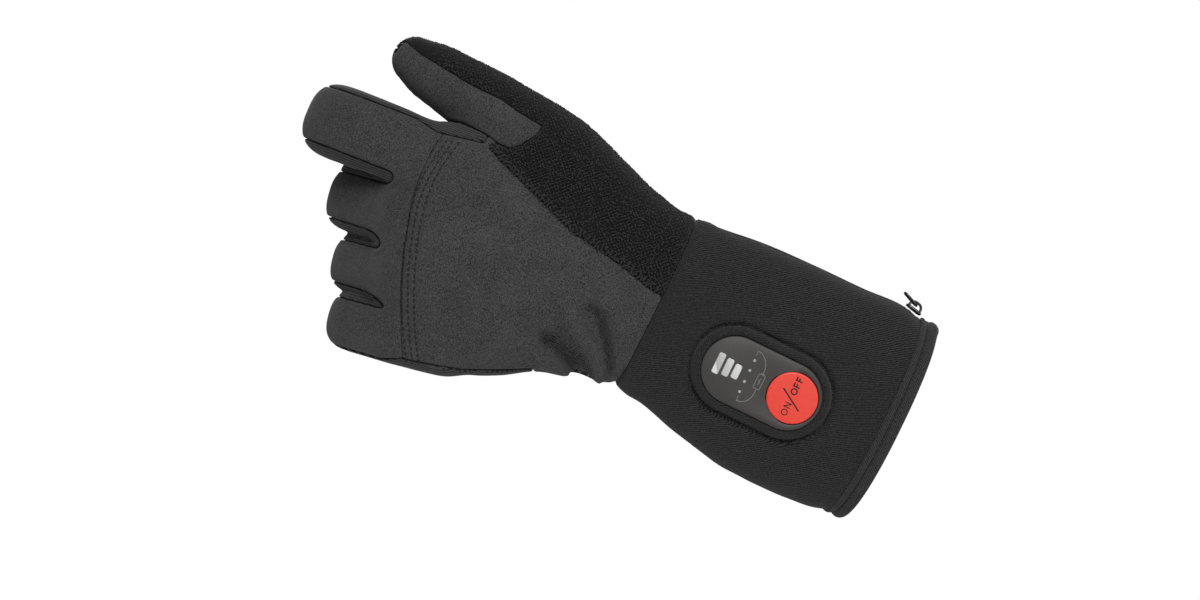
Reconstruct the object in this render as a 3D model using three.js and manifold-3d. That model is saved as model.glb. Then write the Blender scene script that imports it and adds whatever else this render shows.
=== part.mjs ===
// A heated glove for the left hand, worn shape: long knitted cuff, softshell back, curled fingers.
// Millimetres. +X runs along the cuff towards the forearm, +Z is the thumb side, -Y is the back of
// the hand. The origin is the middle of the cuff's open end.
import * as THREE from 'three';
import { mergeVertices } from 'three/addons/utils/BufferGeometryUtils.js';
import Module from 'manifold-3d';

const wasm = await Module();
wasm.setup();

// Driving dimensions
const CUFF_LENGTH = 114.5;        // open end to the cuff seam
const CUFF_HALF = 50;           // half the cuff's width, seen from the back
const CUFF_HALF_DEPTH = 33;     // half the cuff's thickness at the open end
const HAND_LENGTH = 105;        // cuff seam to the knuckles
const HAND_HALF = 53;           // half the hand's width at the knuckles
const HAND_HALF_DEPTH = 26;     // half the hand's thickness at the wrist
const WRIST_TURN = 17;          // degrees, the hand leaning to the little finger's side
const WRIST_BEND = 0.45;        // the turn is spread over this share of the hand
const WRIST_RISE = 1.5;         // the wrist's middle above the cuff's middle
const BODY_POWER = 2.3;         // how square the sections are: 2 is an ellipse
const CLOTH = 2.2;              // cloth wall
const GAP = 0.3;                // between neighbouring pieces
const FINGER_RADIUS = 14.3;     // index finger at its middle joint
const FINGER_LENGTH = 47;       // index finger, knuckle to middle joint
const THUMB_RADIUS = 16;
const SIDE_SEAM = 0.74;         // side seams of a finger, share of its radius off its middle
const FOLD_HEIGHT = 1.5;        // gathers at the wrist
const BINDING_WIDTH = 7.5;
const BINDING_THICK = 1.7;
const BINDING_INSIDE = 0.7;     // thickness of its inner fold, share of the outer
const ZIP_TAPE_HALF = 6;
const ZIP_TAPE_THICK = 1.1;
const COIL_WIDTH = 4.4;
const COIL_HEIGHT = 1.1;
const COIL_FROM_HEM = 3.5;
const SLIDER_LENGTH = 8;
const SLIDER_WIDTH = 6.6;
const SLIDER_PLATE = 1.3;
const BRIDGE_WIDTH = 1.8;
const PULL_LENGTH = 9;
const PULL_WIDTH = 5.2;
const PULL_WIRE = 1.2;
const PULL_CORNER = 0.42;       // share of its width
const PULL_LIFT = 10;           // degrees the pull stands up
const PLATE_LENGTH = 55.6;
const PLATE_WIDTH = 30;
const PLATE_THICK = 3;
const PLATE_BEVEL = 0.8;
const PLATE_FROM_HEM = 59.5;
const PLATE_DROP = 9;           // the plate's middle below the cuff's middle
const RING_WIDTH = 4.2;
const RING_HEIGHT = 2.6;
const RING_SHOULDER = 0.55;     // height of its outer step, share of its own
const RING_CREST = 0.65;        // width of its upper part, share of its own
const BUTTON_DIAMETER = 22.6;
const BUTTON_OFFSET = 14.7;     // the button's middle from the plate's middle, towards the hem
const BUTTON_PROUD = 0.7;
const BUTTON_THICK = 1.7;
const BUTTON_TRAVEL = 0.5;
const BUTTON_EDGE = [1, 0.4];   // its rim's step: width, height
const BAR_THICK = 3.2;
const BAR_LENGTH = 9.7;
const BAR_PITCH = 4.2;
const BAR_OFFSET = 20.5;        // the longest bar's middle from the plate's middle
const BAR_DEPTH = 0.7;
const BAR_STEP = 0.165;         // each bar is shorter than the last by this share
const BAR_CORNER = 0.8;
const POCKET_LENGTH = 50;       // along the cuff
const POCKET_WIDTH = 70;        // round it
const POCKET_THICK = 6;
const POCKET_FROM_HEM = 40.5;
const POCKET_CORNER = 14;
const POCKET_BORDER = 8;
const POCKET_FLOOR = 0.62;      // its middle's height, share of its border's
const PIPING = 1.6;
const BODY_SIDES = 24;          // facets round the outside
const FINGER_SIDES = 10;
const HOLLOW_SIDES = 0.68;      // share of the outside's facets that a hollow has
const BEND_STEP = 34;           // degrees of a bend between two rings
const DOME = [0.5, 0.87];       // a tip's rings, share of its radius towards its point

const rad = THREE.MathUtils.degToRad;
const seamHalf = GAP / 2;

// Cuff sections: share of its length from the hem, then the top and bottom edges as shares of half
// its width, and the half thickness as a share of that at the hem
const cuffRows = [
  { at: 0.00, top: 0.95, low: -0.93, deep: 0.98 },
  { at: 0.10, top: 1.00, low: -0.99, deep: 1.00 },
  { at: 0.28, top: 0.98, low: -1.03, deep: 0.98 },
  { at: 0.50, top: 0.965, low: -1.02, deep: 0.94 },
  { at: 0.72, top: 0.935, low: -0.93, deep: 0.89 },
  { at: 0.90, top: 0.88, low: -0.83, deep: 0.83 },
  { at: 1.00, top: 0.86, low: -0.80, deep: 0.80 },
];

// Hand sections: share of the hand's length from the cuff seam, edges as shares of half its width,
// and how far the knuckles drop towards the palm below the three bent fingers
const handRows = [
  { at: 0.05, top: 0.79, low: -0.78, deep: 1.00, lean: 0.0 },
  { at: 0.11, top: 0.79, low: -0.78, deep: 0.99, lean: 0.0 },
  { at: 0.17, top: 0.79, low: -0.78, deep: 0.98, lean: 0.0 },
  { at: 0.24, top: 0.79, low: -0.79, deep: 0.97, lean: 0.0 },
  { at: 0.34, top: 0.79, low: -0.81, deep: 0.95, lean: 0.0 },
  { at: 0.47, top: 0.81, low: -0.85, deep: 0.92, lean: 0.0 },
  { at: 0.63, top: 0.87, low: -0.93, deep: 0.86, lean: 0.2 },
  { at: 0.80, top: 0.98, low: -0.96, deep: 0.79, lean: 0.5 },
  { at: 1.00, top: 1.05, low: -0.96, deep: 0.71, lean: 1.0, sink: 0.02 },
  { at: 1.14, top: 1.03, low: -0.94, deep: 0.64, lean: 1.0, sink: 0.18 },
  { at: 1.20, top: 0.95, low: -0.86, deep: 0.50, lean: 1.0, sink: 0.36 },
  { at: 1.225, top: 0.84, low: -0.75, deep: 0.33, lean: 1.0, sink: 0.44 },
];
const KNUCKLE_LEAN = 0.12;      // how far the knuckle line falls back at its ends, share of length

// Gathers at the wrist on the little finger's side: middle along the hand, turn round the section
// in degrees from the thumb side through the back, how far each reaches both ways: along, and in
// degrees round it
const FOLD_WIDE = 9;
const foldRows = [
  { at: 0.17, turn: 120, long: 0.18, wide: FOLD_WIDE },
  { at: 0.13, turn: 148, long: 0.15, wide: FOLD_WIDE },
  { at: 0.07, turn: 172, long: 0.12, wide: FOLD_WIDE },
];

// Fingers: knuckle's place (shares of the hand's length and half width), lean towards the thumb in
// degrees, bends at the three joints, lengths as shares of the index finger's first length, radius
// at root, middle joint and tip as shares of the index finger's
const fingerRows = [
  { name: 'index', at: 1.028, across: 0.765, lean: 12.5, bends: [12, 80, 35], long: [1, 0.60, 0.50],
    radius: [1.02, 1.05, 0.84] },
  { name: 'middle', at: 1.046, across: 0.265, lean: 5, bends: [50, 65, 30], long: [1.06, 0.64, 0.52],
    radius: [0.92, 0.90, 0.77] },
  { name: 'ring', at: 1.043, across: -0.22, lean: 8, bends: [54, 65, 30], long: [0.98, 0.60, 0.51],
    radius: [0.86, 0.81, 0.74] },
  { name: 'little', at: 1.03, across: -0.695, lean: 7, bends: [48, 60, 30], long: [0.79, 0.47, 0.47],
    radius: [0.84, 0.83, 0.70] },
];
const FINGER_LEAD = 16;         // the finger's tube starts this far inside the hand
const BEND_RADIUS = 1.12;       // share of the finger's radius
const BACK_REACH = 2.6;         // how far the finger back's zone reaches outwards, share of radius
const TIP_ARCH = 0.72;          // the finger back ends this far from the tip, share of the last length

// Thumb: stations along the hand, across it and towards the palm as shares, radius share
const thumbRows = [
  { at: 0.08, across: 0.42, down: 0.00, radius: 1.00 },
  { at: 0.26, across: 0.62, down: 0.08, radius: 1.12 },
  { at: 0.51, across: 0.98, down: 0.20, radius: 1.19 },
  { at: 0.76, across: 1.24, down: 0.34, radius: 1.02 },
  { at: 0.93, across: 1.385, down: 0.42, radius: 0.95 },
  { at: 1.08, across: 1.51, down: 0.45, radius: 0.82 },
  { at: 1.17, across: 1.59, down: 0.46, radius: 0.66 },
];

// Seams seen from the back, shares along the hand and across it
const terrySeam = [[-0.2, 0.06], [0.04, 0.09], [0.22, 0.21], [0.41, 0.36], [0.60, 0.64], [0.74, 0.84], [0.80, 0.94]];
const leafBase = [[0.77, 0.99], [0.72, 0.96], [0.67, 1.00], [0.61, 1.11], [0.59, 1.19]];
const leafTop = [[0.68, 1.26], [0.78, 1.36], [0.90, 1.43], [1.02, 1.53], [1.15, 1.64], [1.22, 1.73]];
const leafLow = [[1.24, 1.60], [1.12, 1.38], [1.01, 1.28], [0.88, 1.15], [0.82, 1.06]];
const littleSeam = [[0.45, -1.10], [0.47, -0.815], [0.59, -0.86], [0.77, -0.915], [0.94, -0.905], [1.03, -0.90]];
const indexSeam = [[0.81, 1.16], [0.82, 0.95], [0.95, 0.945], [1.03, 0.935]];
const KNUCKLE_SEAM = 1.085;     // at the middle of the back
const FORK_LINE = 1.20;         // where the side walls between the fingers begin

// Meshes and solids

const signedVolume = (positions, triangles) => {
  let sum = 0;
  const [a, b, c] = [new THREE.Vector3(), new THREE.Vector3(), new THREE.Vector3()];
  for (let i = 0; i < triangles.length; i += 3) {
    a.fromArray(positions, triangles[i] * 3);
    b.fromArray(positions, triangles[i + 1] * 3);
    c.fromArray(positions, triangles[i + 2] * 3);
    sum += a.dot(b.cross(c));
  }
  return sum / 6;
};

const toSolid = (geometry) => {
  const bare = geometry.clone();
  bare.deleteAttribute('normal');
  bare.deleteAttribute('uv');
  const merged = mergeVertices(bare, 1e-4);
  const positions = new Float32Array(merged.attributes.position.array);
  const triangles = new Uint32Array(merged.index.array);
  if (signedVolume(positions, triangles) < 0) {
    for (let i = 0; i < triangles.length; i += 3) {
      [triangles[i], triangles[i + 1]] = [triangles[i + 1], triangles[i]];
    }
  }
  return new wasm.Manifold(new wasm.Mesh({ numProp: 3, vertProperties: positions, triVerts: triangles }));
};

const toGeometry = (solid) => {
  const mesh = solid.getMesh();
  const geometry = new THREE.BufferGeometry();
  geometry.setAttribute('position', new THREE.BufferAttribute(new Float32Array(mesh.vertProperties), 3));
  geometry.setIndex(new THREE.BufferAttribute(new Uint32Array(mesh.triVerts), 1));
  geometry.computeVertexNormals();
  return geometry;
};

const unite = (solids) => solids.reduce((sum, solid) => sum.add(solid));

// The largest body of a cut solid, without the crumbs that a cut leaves
const whole = (solid) => solid.decompose().reduce((best, one) => (one.volume() > best.volume() ? one : best));

// A closed skin over rings of points, with a fan over each end
const loft = (rings) => {
  const count = rings[0].length;
  const points = rings.flat();
  const middle = (ring) => ring.reduce((sum, p) => sum.add(p), new THREE.Vector3()).divideScalar(count);
  points.push(middle(rings[0]), middle(rings[rings.length - 1]));
  const index = [];
  for (let r = 0; r + 1 < rings.length; r += 1) {
    for (let i = 0; i < count; i += 1) {
      const a = r * count + i;
      const b = r * count + ((i + 1) % count);
      index.push(a, b, a + count, b, b + count, a + count);
    }
  }
  const last = (rings.length - 1) * count;
  for (let i = 0; i < count; i += 1) {
    const next = (i + 1) % count;
    index.push(points.length - 2, next, i);
    index.push(points.length - 1, last + i, last + next);
  }
  const geometry = new THREE.BufferGeometry();
  geometry.setAttribute('position', new THREE.Float32BufferAttribute(points.flatMap((p) => p.toArray()), 3));
  geometry.setIndex(index);
  return toSolid(geometry);
};

// A straight prism over an outline, its three axes given by a matrix
const prism = (outline, low, high, matrix) => {
  const shape = new THREE.Shape(outline.map(([x, y]) => new THREE.Vector2(x, y)));
  const geometry = new THREE.ExtrudeGeometry(shape, { depth: high - low, bevelEnabled: false });
  geometry.translate(0, 0, low);
  return toSolid(geometry.applyMatrix4(matrix));
};

// Outline x, y lie along X and Z, and depth runs along Y
const acrossBack = new THREE.Matrix4().makeBasis(
  new THREE.Vector3(1, 0, 0), new THREE.Vector3(0, 0, 1), new THREE.Vector3(0, 1, 0));
// Outline x, y lie along Y and Z, and depth runs along X
const alongCuff = new THREE.Matrix4().makeBasis(
  new THREE.Vector3(0, 1, 0), new THREE.Vector3(0, 0, 1), new THREE.Vector3(1, 0, 0));

// An outline moved outwards by a distance at every corner
const grown = (outline, distance) => {
  const area = outline.reduce((sum, [x, y], i) => {
    const [nx, ny] = outline[(i + 1) % outline.length];
    return sum + x * ny - nx * y;
  }, 0);
  const sign = area > 0 ? 1 : -1;
  return outline.map((point, i) => {
    const before = outline[(i + outline.length - 1) % outline.length];
    const after = outline[(i + 1) % outline.length];
    const one = new THREE.Vector2(point[0] - before[0], point[1] - before[1]).normalize();
    const two = new THREE.Vector2(after[0] - point[0], after[1] - point[1]).normalize();
    const normal = new THREE.Vector2(one.y + two.y, -(one.x + two.x)).normalize().multiplyScalar(sign);
    const spread = Math.max(0.4, normal.dot(new THREE.Vector2(one.y, -one.x).multiplyScalar(sign)));
    return [point[0] + (normal.x * distance) / spread, point[1] + (normal.y * distance) / spread];
  });
};

// The body: cuff and hand

// The hand's axis bends over its first part and then runs straight
const axisAt = (share) => {
  const turn = rad(WRIST_TURN);
  const bend = HAND_LENGTH * WRIST_BEND;
  const run = share * HAND_LENGTH;
  const radius = bend / turn;
  if (run <= 0) return { x: -CUFF_LENGTH - run, z: WRIST_RISE, turn: 0 };
  const angle = Math.min(run / radius, turn);
  const rest = Math.max(0, run - bend);
  return {
    x: -CUFF_LENGTH - radius * Math.sin(angle) - rest * Math.cos(turn),
    z: WRIST_RISE - radius * (1 - Math.cos(angle)) - rest * Math.sin(turn),
    turn: angle,
  };
};

// A point given along the hand (share), across it and through it (millimetres)
const handPoint = (share, across, through = 0) => {
  const axis = axisAt(share);
  return new THREE.Vector3(axis.x - Math.sin(axis.turn) * across, through, axis.z + Math.cos(axis.turn) * across);
};

const handOutline = (rows) => rows.map(([share, across]) => {
  const point = handPoint(share, across * HAND_HALF);
  return [point.x, point.z];
});

const leanBack = (across, amount) => amount * KNUCKLE_LEAN * ((across / HAND_HALF - 0.15) ** 2);

const foldAt = (share, degrees) => foldRows.reduce((sum, fold) => {
  const along = (share - fold.at) / fold.long;
  const round = (degrees - fold.turn) / fold.wide;
  return sum + FOLD_HEIGHT * Math.exp(-along * along - round * round);
}, 0);

const rounded = (value, power) => Math.sign(value) * Math.abs(value) ** (2 / power);
const sidesFor = (sides, grow) => (grow < 0 ? Math.round((sides * HOLLOW_SIDES) / 2) * 2 : sides);

const ringOf = (row, place, halfUnit, depthUnit, grow) => {
  const sides = sidesFor(BODY_SIDES, grow);
  const half = ((row.top - row.low) / 2) * halfUnit + grow;
  const middle = ((row.top + row.low) / 2) * halfUnit;
  const deep = row.deep * depthUnit + grow;
  return Array.from({ length: sides }, (_, i) => {
    const angle = (i / sides) * Math.PI * 2;
    const across = middle + half * rounded(Math.cos(angle), BODY_POWER);
    const through = -deep * rounded(Math.sin(angle), BODY_POWER);
    return place(row, across, through, THREE.MathUtils.radToDeg(angle));
  });
};

const cuffRing = (row, grow) => ringOf(row, (r, across, through) => (
  new THREE.Vector3(-CUFF_LENGTH * r.at, through, across + WRIST_RISE * r.at)), CUFF_HALF, CUFF_HALF_DEPTH, grow);

const handRing = (row, grow, shift) => ringOf(row, (r, across, through, degrees) => {
  const puff = 1 + foldAt(r.at, degrees) / HAND_HALF_DEPTH;
  const share = r.at - leanBack(across, r.lean) - shift;
  const drop = (r.sink ?? 0) * HAND_HALF_DEPTH * (1 - THREE.MathUtils.smoothstep(across / HAND_HALF, 0.35, 0.75));
  return handPoint(share, across * (1 + (puff - 1) / 2), through * puff + drop);
}, HAND_HALF, HAND_HALF_DEPTH, grow);

const bodySolid = (grow) => {
  const rings = cuffRows.map((row) => cuffRing(row, grow));
  const first = rings[0];
  if (grow < 0) rings.unshift(first.map((p) => p.clone().setX(p.x + BINDING_WIDTH * 2)));
  const shift = grow < 0 ? -grow / HAND_LENGTH : 0;
  handRows.forEach((row) => rings.push(handRing(row, grow, row.at > 1.1 ? shift : 0)));
  return loft(rings);
};

// Height of the cuff's outer skin off the middle plane, at a place on its back or palm
const cuffRowAt = (x) => {
  const at = THREE.MathUtils.clamp(-x / CUFF_LENGTH, 0, 1);
  const next = Math.max(1, cuffRows.findIndex((row) => row.at >= at));
  const [a, b] = [cuffRows[next - 1], cuffRows[next]];
  const mix = (at - a.at) / (b.at - a.at);
  const blend = (key) => a[key] + (b[key] - a[key]) * mix;
  return { at, top: blend('top'), low: blend('low'), deep: blend('deep') };
};
const cuffSkin = (x, z) => {
  const row = cuffRowAt(x);
  const half = ((row.top - row.low) / 2) * CUFF_HALF;
  const middle = ((row.top + row.low) / 2) * CUFF_HALF + WRIST_RISE * row.at;
  const off = Math.min(1, Math.abs((z - middle) / half));
  return row.deep * CUFF_HALF_DEPTH * (1 - off ** BODY_POWER) ** (1 / BODY_POWER);
};
const cuffTop = (x) => {
  const row = cuffRowAt(x);
  return row.top * CUFF_HALF + WRIST_RISE * row.at;
};

// Fingers

// Frame of one finger: its root, its direction in the plane of the back, and its side direction
const fingerFrame = (row) => {
  const root = handPoint(row.at, row.across * HAND_HALF);
  const angle = Math.PI + rad(WRIST_TURN - row.lean);
  const along = new THREE.Vector3(Math.cos(angle), 0, Math.sin(angle));
  const side = new THREE.Vector3(Math.sin(angle), 0, -Math.cos(angle));
  return { root, along, side, matrix: new THREE.Matrix4().makeBasis(along, new THREE.Vector3(0, 1, 0), side).setPosition(root) };
};

// The finger's middle line in its own plane (along, towards the palm), with rounded bends
const fingerLine = (row) => {
  const radii = row.radius.map((share) => share * FINGER_RADIUS);
  const lengths = row.long.map((share) => share * FINGER_LENGTH);
  const corners = [new THREE.Vector2(-FINGER_LEAD, 0), new THREE.Vector2(0, 0)];
  let heading = 0;
  lengths.forEach((length, i) => {
    heading += rad(row.bends[i]);
    const end = corners[corners.length - 1];
    corners.push(new THREE.Vector2(end.x + length * Math.cos(heading), end.y + length * Math.sin(heading)));
  });
  const stations = [{ x: corners[0].x, y: 0, heading: 0, radius: radii[0] }];
  heading = 0;
  row.bends.forEach((bend, i) => {
    const turn = rad(bend);
    const mix = i === 0 ? radii[0] : i === 1 ? radii[1] : (radii[1] + radii[2]) / 2;
    const curve = mix * BEND_RADIUS;
    const corner = corners[i + 1];
    const reach = curve * Math.tan(turn / 2);
    const start = { x: corner.x - reach * Math.cos(heading), y: corner.y - reach * Math.sin(heading) };
    const centre = { x: start.x - curve * Math.sin(heading), y: start.y + curve * Math.cos(heading) };
    const steps = Math.max(1, Math.ceil(bend / BEND_STEP));
    for (let s = 0; s <= steps; s += 1) {
      const now = heading + (turn * s) / steps;
      stations.push({ x: centre.x + curve * Math.sin(now), y: centre.y - curve * Math.cos(now), heading: now, radius: mix });
    }
    heading += turn;
  });
  const tip = corners[corners.length - 1];
  const end = { x: tip.x - radii[2] * Math.cos(heading), y: tip.y - radii[2] * Math.sin(heading) };
  stations.push({ ...end, heading, radius: radii[2] });
  return { stations, tip, heading, radii, arch: TIP_ARCH * lengths[2] };
};

const tubeRing = (centre, forward, side, radius, sides) => {
  const up = new THREE.Vector3().crossVectors(side, forward).normalize();
  return Array.from({ length: sides }, (_, i) => {
    const angle = ((i + 0.5) / sides) * Math.PI * 2;
    return centre.clone().addScaledVector(side, radius * Math.cos(angle)).addScaledVector(up, radius * Math.sin(angle));
  });
};

const fingerSolid = (row, grow) => {
  const frame = fingerFrame(row);
  const { stations } = fingerLine(row);
  const rings = stations.map((s) => {
    const centre = new THREE.Vector3(s.x, s.y, 0).applyMatrix4(frame.matrix);
    const forward = frame.along.clone().multiplyScalar(Math.cos(s.heading)).setY(Math.sin(s.heading));
    return { centre, forward, radius: s.radius + grow };
  });
  const end = rings[rings.length - 1];
  DOME.forEach((share) => rings.push({
    centre: end.centre.clone().addScaledVector(end.forward, share * end.radius),
    forward: end.forward,
    radius: end.radius * Math.sqrt(1 - share * share),
  }));
  return loft(rings.map((r) => tubeRing(r.centre, r.forward, frame.side, r.radius, sidesFor(FINGER_SIDES, grow))));
};

// Thumb

const thumbSolid = (grow) => {
  const line = new THREE.CatmullRomCurve3(thumbRows.map((row) => (
    handPoint(row.at, row.across * HAND_HALF, row.down * HAND_HALF_DEPTH))));
  const steps = 6;
  const rings = [];
  for (let s = 0; s <= steps; s += 1) {
    const place = (s / steps) * (thumbRows.length - 1);
    const low = Math.min(Math.floor(place), thumbRows.length - 2);
    const share = THREE.MathUtils.lerp(thumbRows[low].radius, thumbRows[low + 1].radius, place - low);
    rings.push({ centre: line.getPoint(s / steps), forward: line.getTangent(s / steps), radius: share * THUMB_RADIUS + grow });
  }
  const end = rings[rings.length - 1];
  DOME.forEach((share) => rings.push({
    centre: end.centre.clone().addScaledVector(end.forward, share * end.radius),
    forward: end.forward,
    radius: end.radius * Math.sqrt(1 - share * share),
  }));
  const flank = new THREE.Vector3(0, 1, 0);
  return loft(rings.map((r) => tubeRing(r.centre, r.forward, flank, r.radius, sidesFor(FINGER_SIDES + 2, grow))));
};
const thumbMiddle = thumbRows[4].down * HAND_HALF_DEPTH;

// The cloth shell and its panels

const formOf = (grow) => unite([bodySolid(grow), thumbSolid(grow), ...fingerRows.map((row) => fingerSolid(row, grow))]);
let cloth = formOf(0).subtract(formOf(-CLOTH));

const parts = new Map();

// Takes a zone's cloth as one piece, and leaves a seam's gap round it
const carve = (name, zone, wider) => {
  parts.set(name, whole(cloth.intersect(zone)));
  cloth = cloth.subtract(wider);
};

const backPrism = (outline, low, high, extra) => prism(grown(outline, extra), low - extra, high + extra, acrossBack);
const cuffPrism = (outline, low, high, extra) => prism(grown(outline, extra), low - extra, high + extra, alongCuff);
const twice = (make) => [make(0), make(GAP)];

// Cuff: a tape's strip along the thumb side, and the back and palm panels beside it
const cuffEnd = -CUFF_LENGTH - seamHalf;
const hemEdge = -BINDING_THICK;
const wide = CUFF_HALF * 2;
const tapeZone = [[-ZIP_TAPE_HALF, 0], [ZIP_TAPE_HALF, 0], [ZIP_TAPE_HALF, wide], [-ZIP_TAPE_HALF, wide]];
cloth = cloth.subtract(prism(tapeZone, hemEdge, wide, alongCuff))
  .subtract(prism([[-wide, -wide], [wide, -wide], [wide, wide], [-wide, wide]], hemEdge, wide, alongCuff));
const coreShell = bodySolid(-(CLOTH - ZIP_TAPE_THICK) / 2).subtract(bodySolid(-(CLOTH + ZIP_TAPE_THICK) / 2));
parts.set('zip_tape', whole(coreShell.intersect(
  prism(grown(tapeZone, -GAP), -CUFF_LENGTH + GAP, hemEdge - GAP, alongCuff))));
cloth = cloth.subtract(prism(tapeZone, cuffEnd, wide, alongCuff));
const backHalf = [[-wide, -wide], [-seamHalf, -wide], [-seamHalf, wide], [-wide, wide]];
carve('cuff_back', ...twice((extra) => cuffPrism(backHalf, cuffEnd + GAP, wide, extra)));
const cuffAll = [[-wide, -wide], [wide, -wide], [wide, wide], [-wide, wide]];
carve('cuff_palm', ...twice((extra) => cuffPrism(cuffAll, cuffEnd + GAP, wide, extra)));

// Looped cloth over the thumb and the thumb side of the back
const terryNear = handOutline([...terrySeam, ...leafBase, ...leafTop, [1.5, 2.1], [1.2, 2.6], [-0.2, 2.2]]);
const thumbLine = thumbRows.slice(2).map((row) => [row.at, row.across]);
const terryFar = handOutline([[0.48, 1.16], ...thumbLine, [1.5, 1.9], [1.2, 2.6], [0.40, 2.2]]);
carve('terry_panel', ...twice((extra) => unite([
  backPrism(terryNear, -wide, thumbMiddle, extra), backPrism(terryFar, thumbMiddle - CLOTH, wide, extra)])));

// The leaf-shaped panel on the thumb's near side, and the thumb's gripping side
const leafZone = handOutline([...leafBase, ...leafTop, ...leafLow]);
carve('thumb_side', ...twice((extra) => backPrism(leafZone, -wide, thumbMiddle, extra)));
const thumbFront = handOutline([[0.86, 0.70], [1.6, 0.70], [1.6, 2.6], [0.86, 2.6]]);
carve('thumb_palm', ...twice((extra) => thumbSolid(GAP + extra).intersect(backPrism(thumbFront, -wide, wide, extra))));

// Zones of one finger in its own frame: beyond a side seam, and over the tip
const seamPoint = (row, sideSign, run) => {
  const frame = fingerFrame(row);
  const seam = sideSign * SIDE_SEAM * row.radius[1] * FINGER_RADIUS;
  const point = frame.root.clone().addScaledVector(frame.along, run).addScaledVector(frame.side, seam);
  return [point.x, point.z];
};
const tipZone = (row, extra) => {
  const { tip, heading, radii, arch } = fingerLine(row);
  const frame = fingerFrame(row);
  const local = new THREE.Matrix4().makeRotationZ(heading).setPosition(tip.x, tip.y, 0);
  const half = radii[2] + GAP * 2;
  const box = [[-arch - extra, -half * 1.6], [half, -half * 1.6], [half, half * 1.6], [-arch - extra, half * 1.6]];
  return prism(box, -half, half, new THREE.Matrix4().multiplyMatrices(frame.matrix, local));
};
const REACH = FINGER_LENGTH * 2.6;

// The outline between two seams, from their starts to their ends or to where they meet
const seamWedge = (oneStart, oneEnd, twoStart, twoEnd) => {
  const [dx, dy] = [oneEnd[0] - oneStart[0], oneEnd[1] - oneStart[1]];
  const offset = ([x, y]) => (x - oneStart[0]) * dy - (y - oneStart[1]) * dx;
  const [first, last] = [offset(twoStart), offset(twoEnd)];
  if (first * last > 0) return [oneStart, twoStart, twoEnd, oneEnd];
  const share = first / (first - last);
  const meeting = [0, 1].map((i) => twoStart[i] + (twoEnd[i] - twoStart[i]) * share);
  return [oneStart, twoStart, meeting];
};

// Side walls between neighbouring fingers, each wrapping the tip of the finger on its thumb side
const forkRun = (row) => {
  const frame = fingerFrame(row);
  const across = row.across * HAND_HALF;
  return handPoint(FORK_LINE - leanBack(across, 1), across).sub(frame.root).dot(frame.along);
};
const edgeOutline = (row, sign, lead) => (
  [...lead, seamPoint(row, sign, forkRun(row)), seamPoint(row, sign, REACH), seamPoint(row, sign * 3, REACH)]);
// The folded finger ends lie past the palm, so there the zones run all along
const PALM_CLEAR = HAND_HALF_DEPTH * 1.15;
const foldedBack = -FINGER_LENGTH * 0.6;
const endOutline = (row, sign) => (
  [[sign, -REACH], [sign, REACH], [sign * 3, REACH], [sign * 3, -REACH]].map(([s, run]) => seamPoint(row, s, run)));
const [indexRow, , , littleRow] = fingerRows;
const indexLead = handOutline([[0.95, 1.6], ...indexSeam]);
carve('index_side', ...twice((extra) => unite([
  backPrism(edgeOutline(indexRow, 1, indexLead), -wide, REACH, extra),
  backPrism(endOutline(indexRow, 1), PALM_CLEAR, REACH, extra), tipZone(indexRow, extra)])));
const littleLead = handOutline([[0.9, -1.6], ...littleSeam]);
carve('little_side', ...twice((extra) => unite([
  backPrism(edgeOutline(littleRow, -1, littleLead), -wide, REACH, extra),
  backPrism(endOutline(littleRow, -1), PALM_CLEAR, REACH, extra)])));
fingerRows.slice(0, -1).forEach((row, i) => {
  const next = fingerRows[i + 1];
  carve(`fourchette_${i + 1}`, ...twice((extra) => {
    const between = (rowStart, nextStart) => seamWedge(seamPoint(row, -1, rowStart), seamPoint(row, -1, REACH),
      seamPoint(next, 1, nextStart), seamPoint(next, 1, REACH));
    return unite([backPrism(between(forkRun(row), forkRun(next)), -wide, REACH, extra),
      backPrism(between(foldedBack, foldedBack), PALM_CLEAR, REACH, extra), tipZone(next, extra)]);
  }));
});

// The back, from the cuff seam to the knuckle seam
const knuckleLine = (step) => [0.95, 0.6, 0.3, 0, -0.3, -0.6, -0.93].map((across) => (
  [KNUCKLE_SEAM + step - leanBack(across * HAND_HALF, 1) * 0.6, across]));
const backZone = handOutline([[-0.2, 1.2], ...knuckleLine(0).map(([at, across]) => [at, across * 1.15]), [-0.2, -1.2]]);
carve('back_panel', ...twice((extra) => backPrism(backZone, -wide, -seamHalf, extra)));

// Finger backs: the strip past the knuckle seam and the outer half of each finger to its arch
const fingerBack = (row, extra) => {
  const { stations, tip, heading, radii, arch } = fingerLine(row);
  const frame = fingerFrame(row);
  const stop = { x: tip.x - arch * Math.cos(heading), y: tip.y - arch * Math.sin(heading), heading };
  const line = [...stations.slice(0, -1), stop];
  const off = radii[0] * BACK_REACH;
  const inner = line.map((s) => [s.x - extra * Math.sin(s.heading), s.y + extra * Math.cos(s.heading)]);
  const outer = line.map((s) => [s.x + off * Math.sin(s.heading), s.y - off * Math.cos(s.heading)]).reverse();
  return prism([...inner, ...outer], -radii[0], radii[0], frame.matrix);
};
const stripZone = handOutline([[KNUCKLE_SEAM - 0.2, 1.1], [FORK_LINE, 1.1], [FORK_LINE, -1.1], [KNUCKLE_SEAM - 0.2, -1.1]]);
carve('finger_panel', ...twice((extra) => unite([
  backPrism(stripZone, -wide, -seamHalf, extra), ...fingerRows.map((row) => fingerBack(row, extra))])));
parts.set('palm_panel', whole(cloth));

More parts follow.
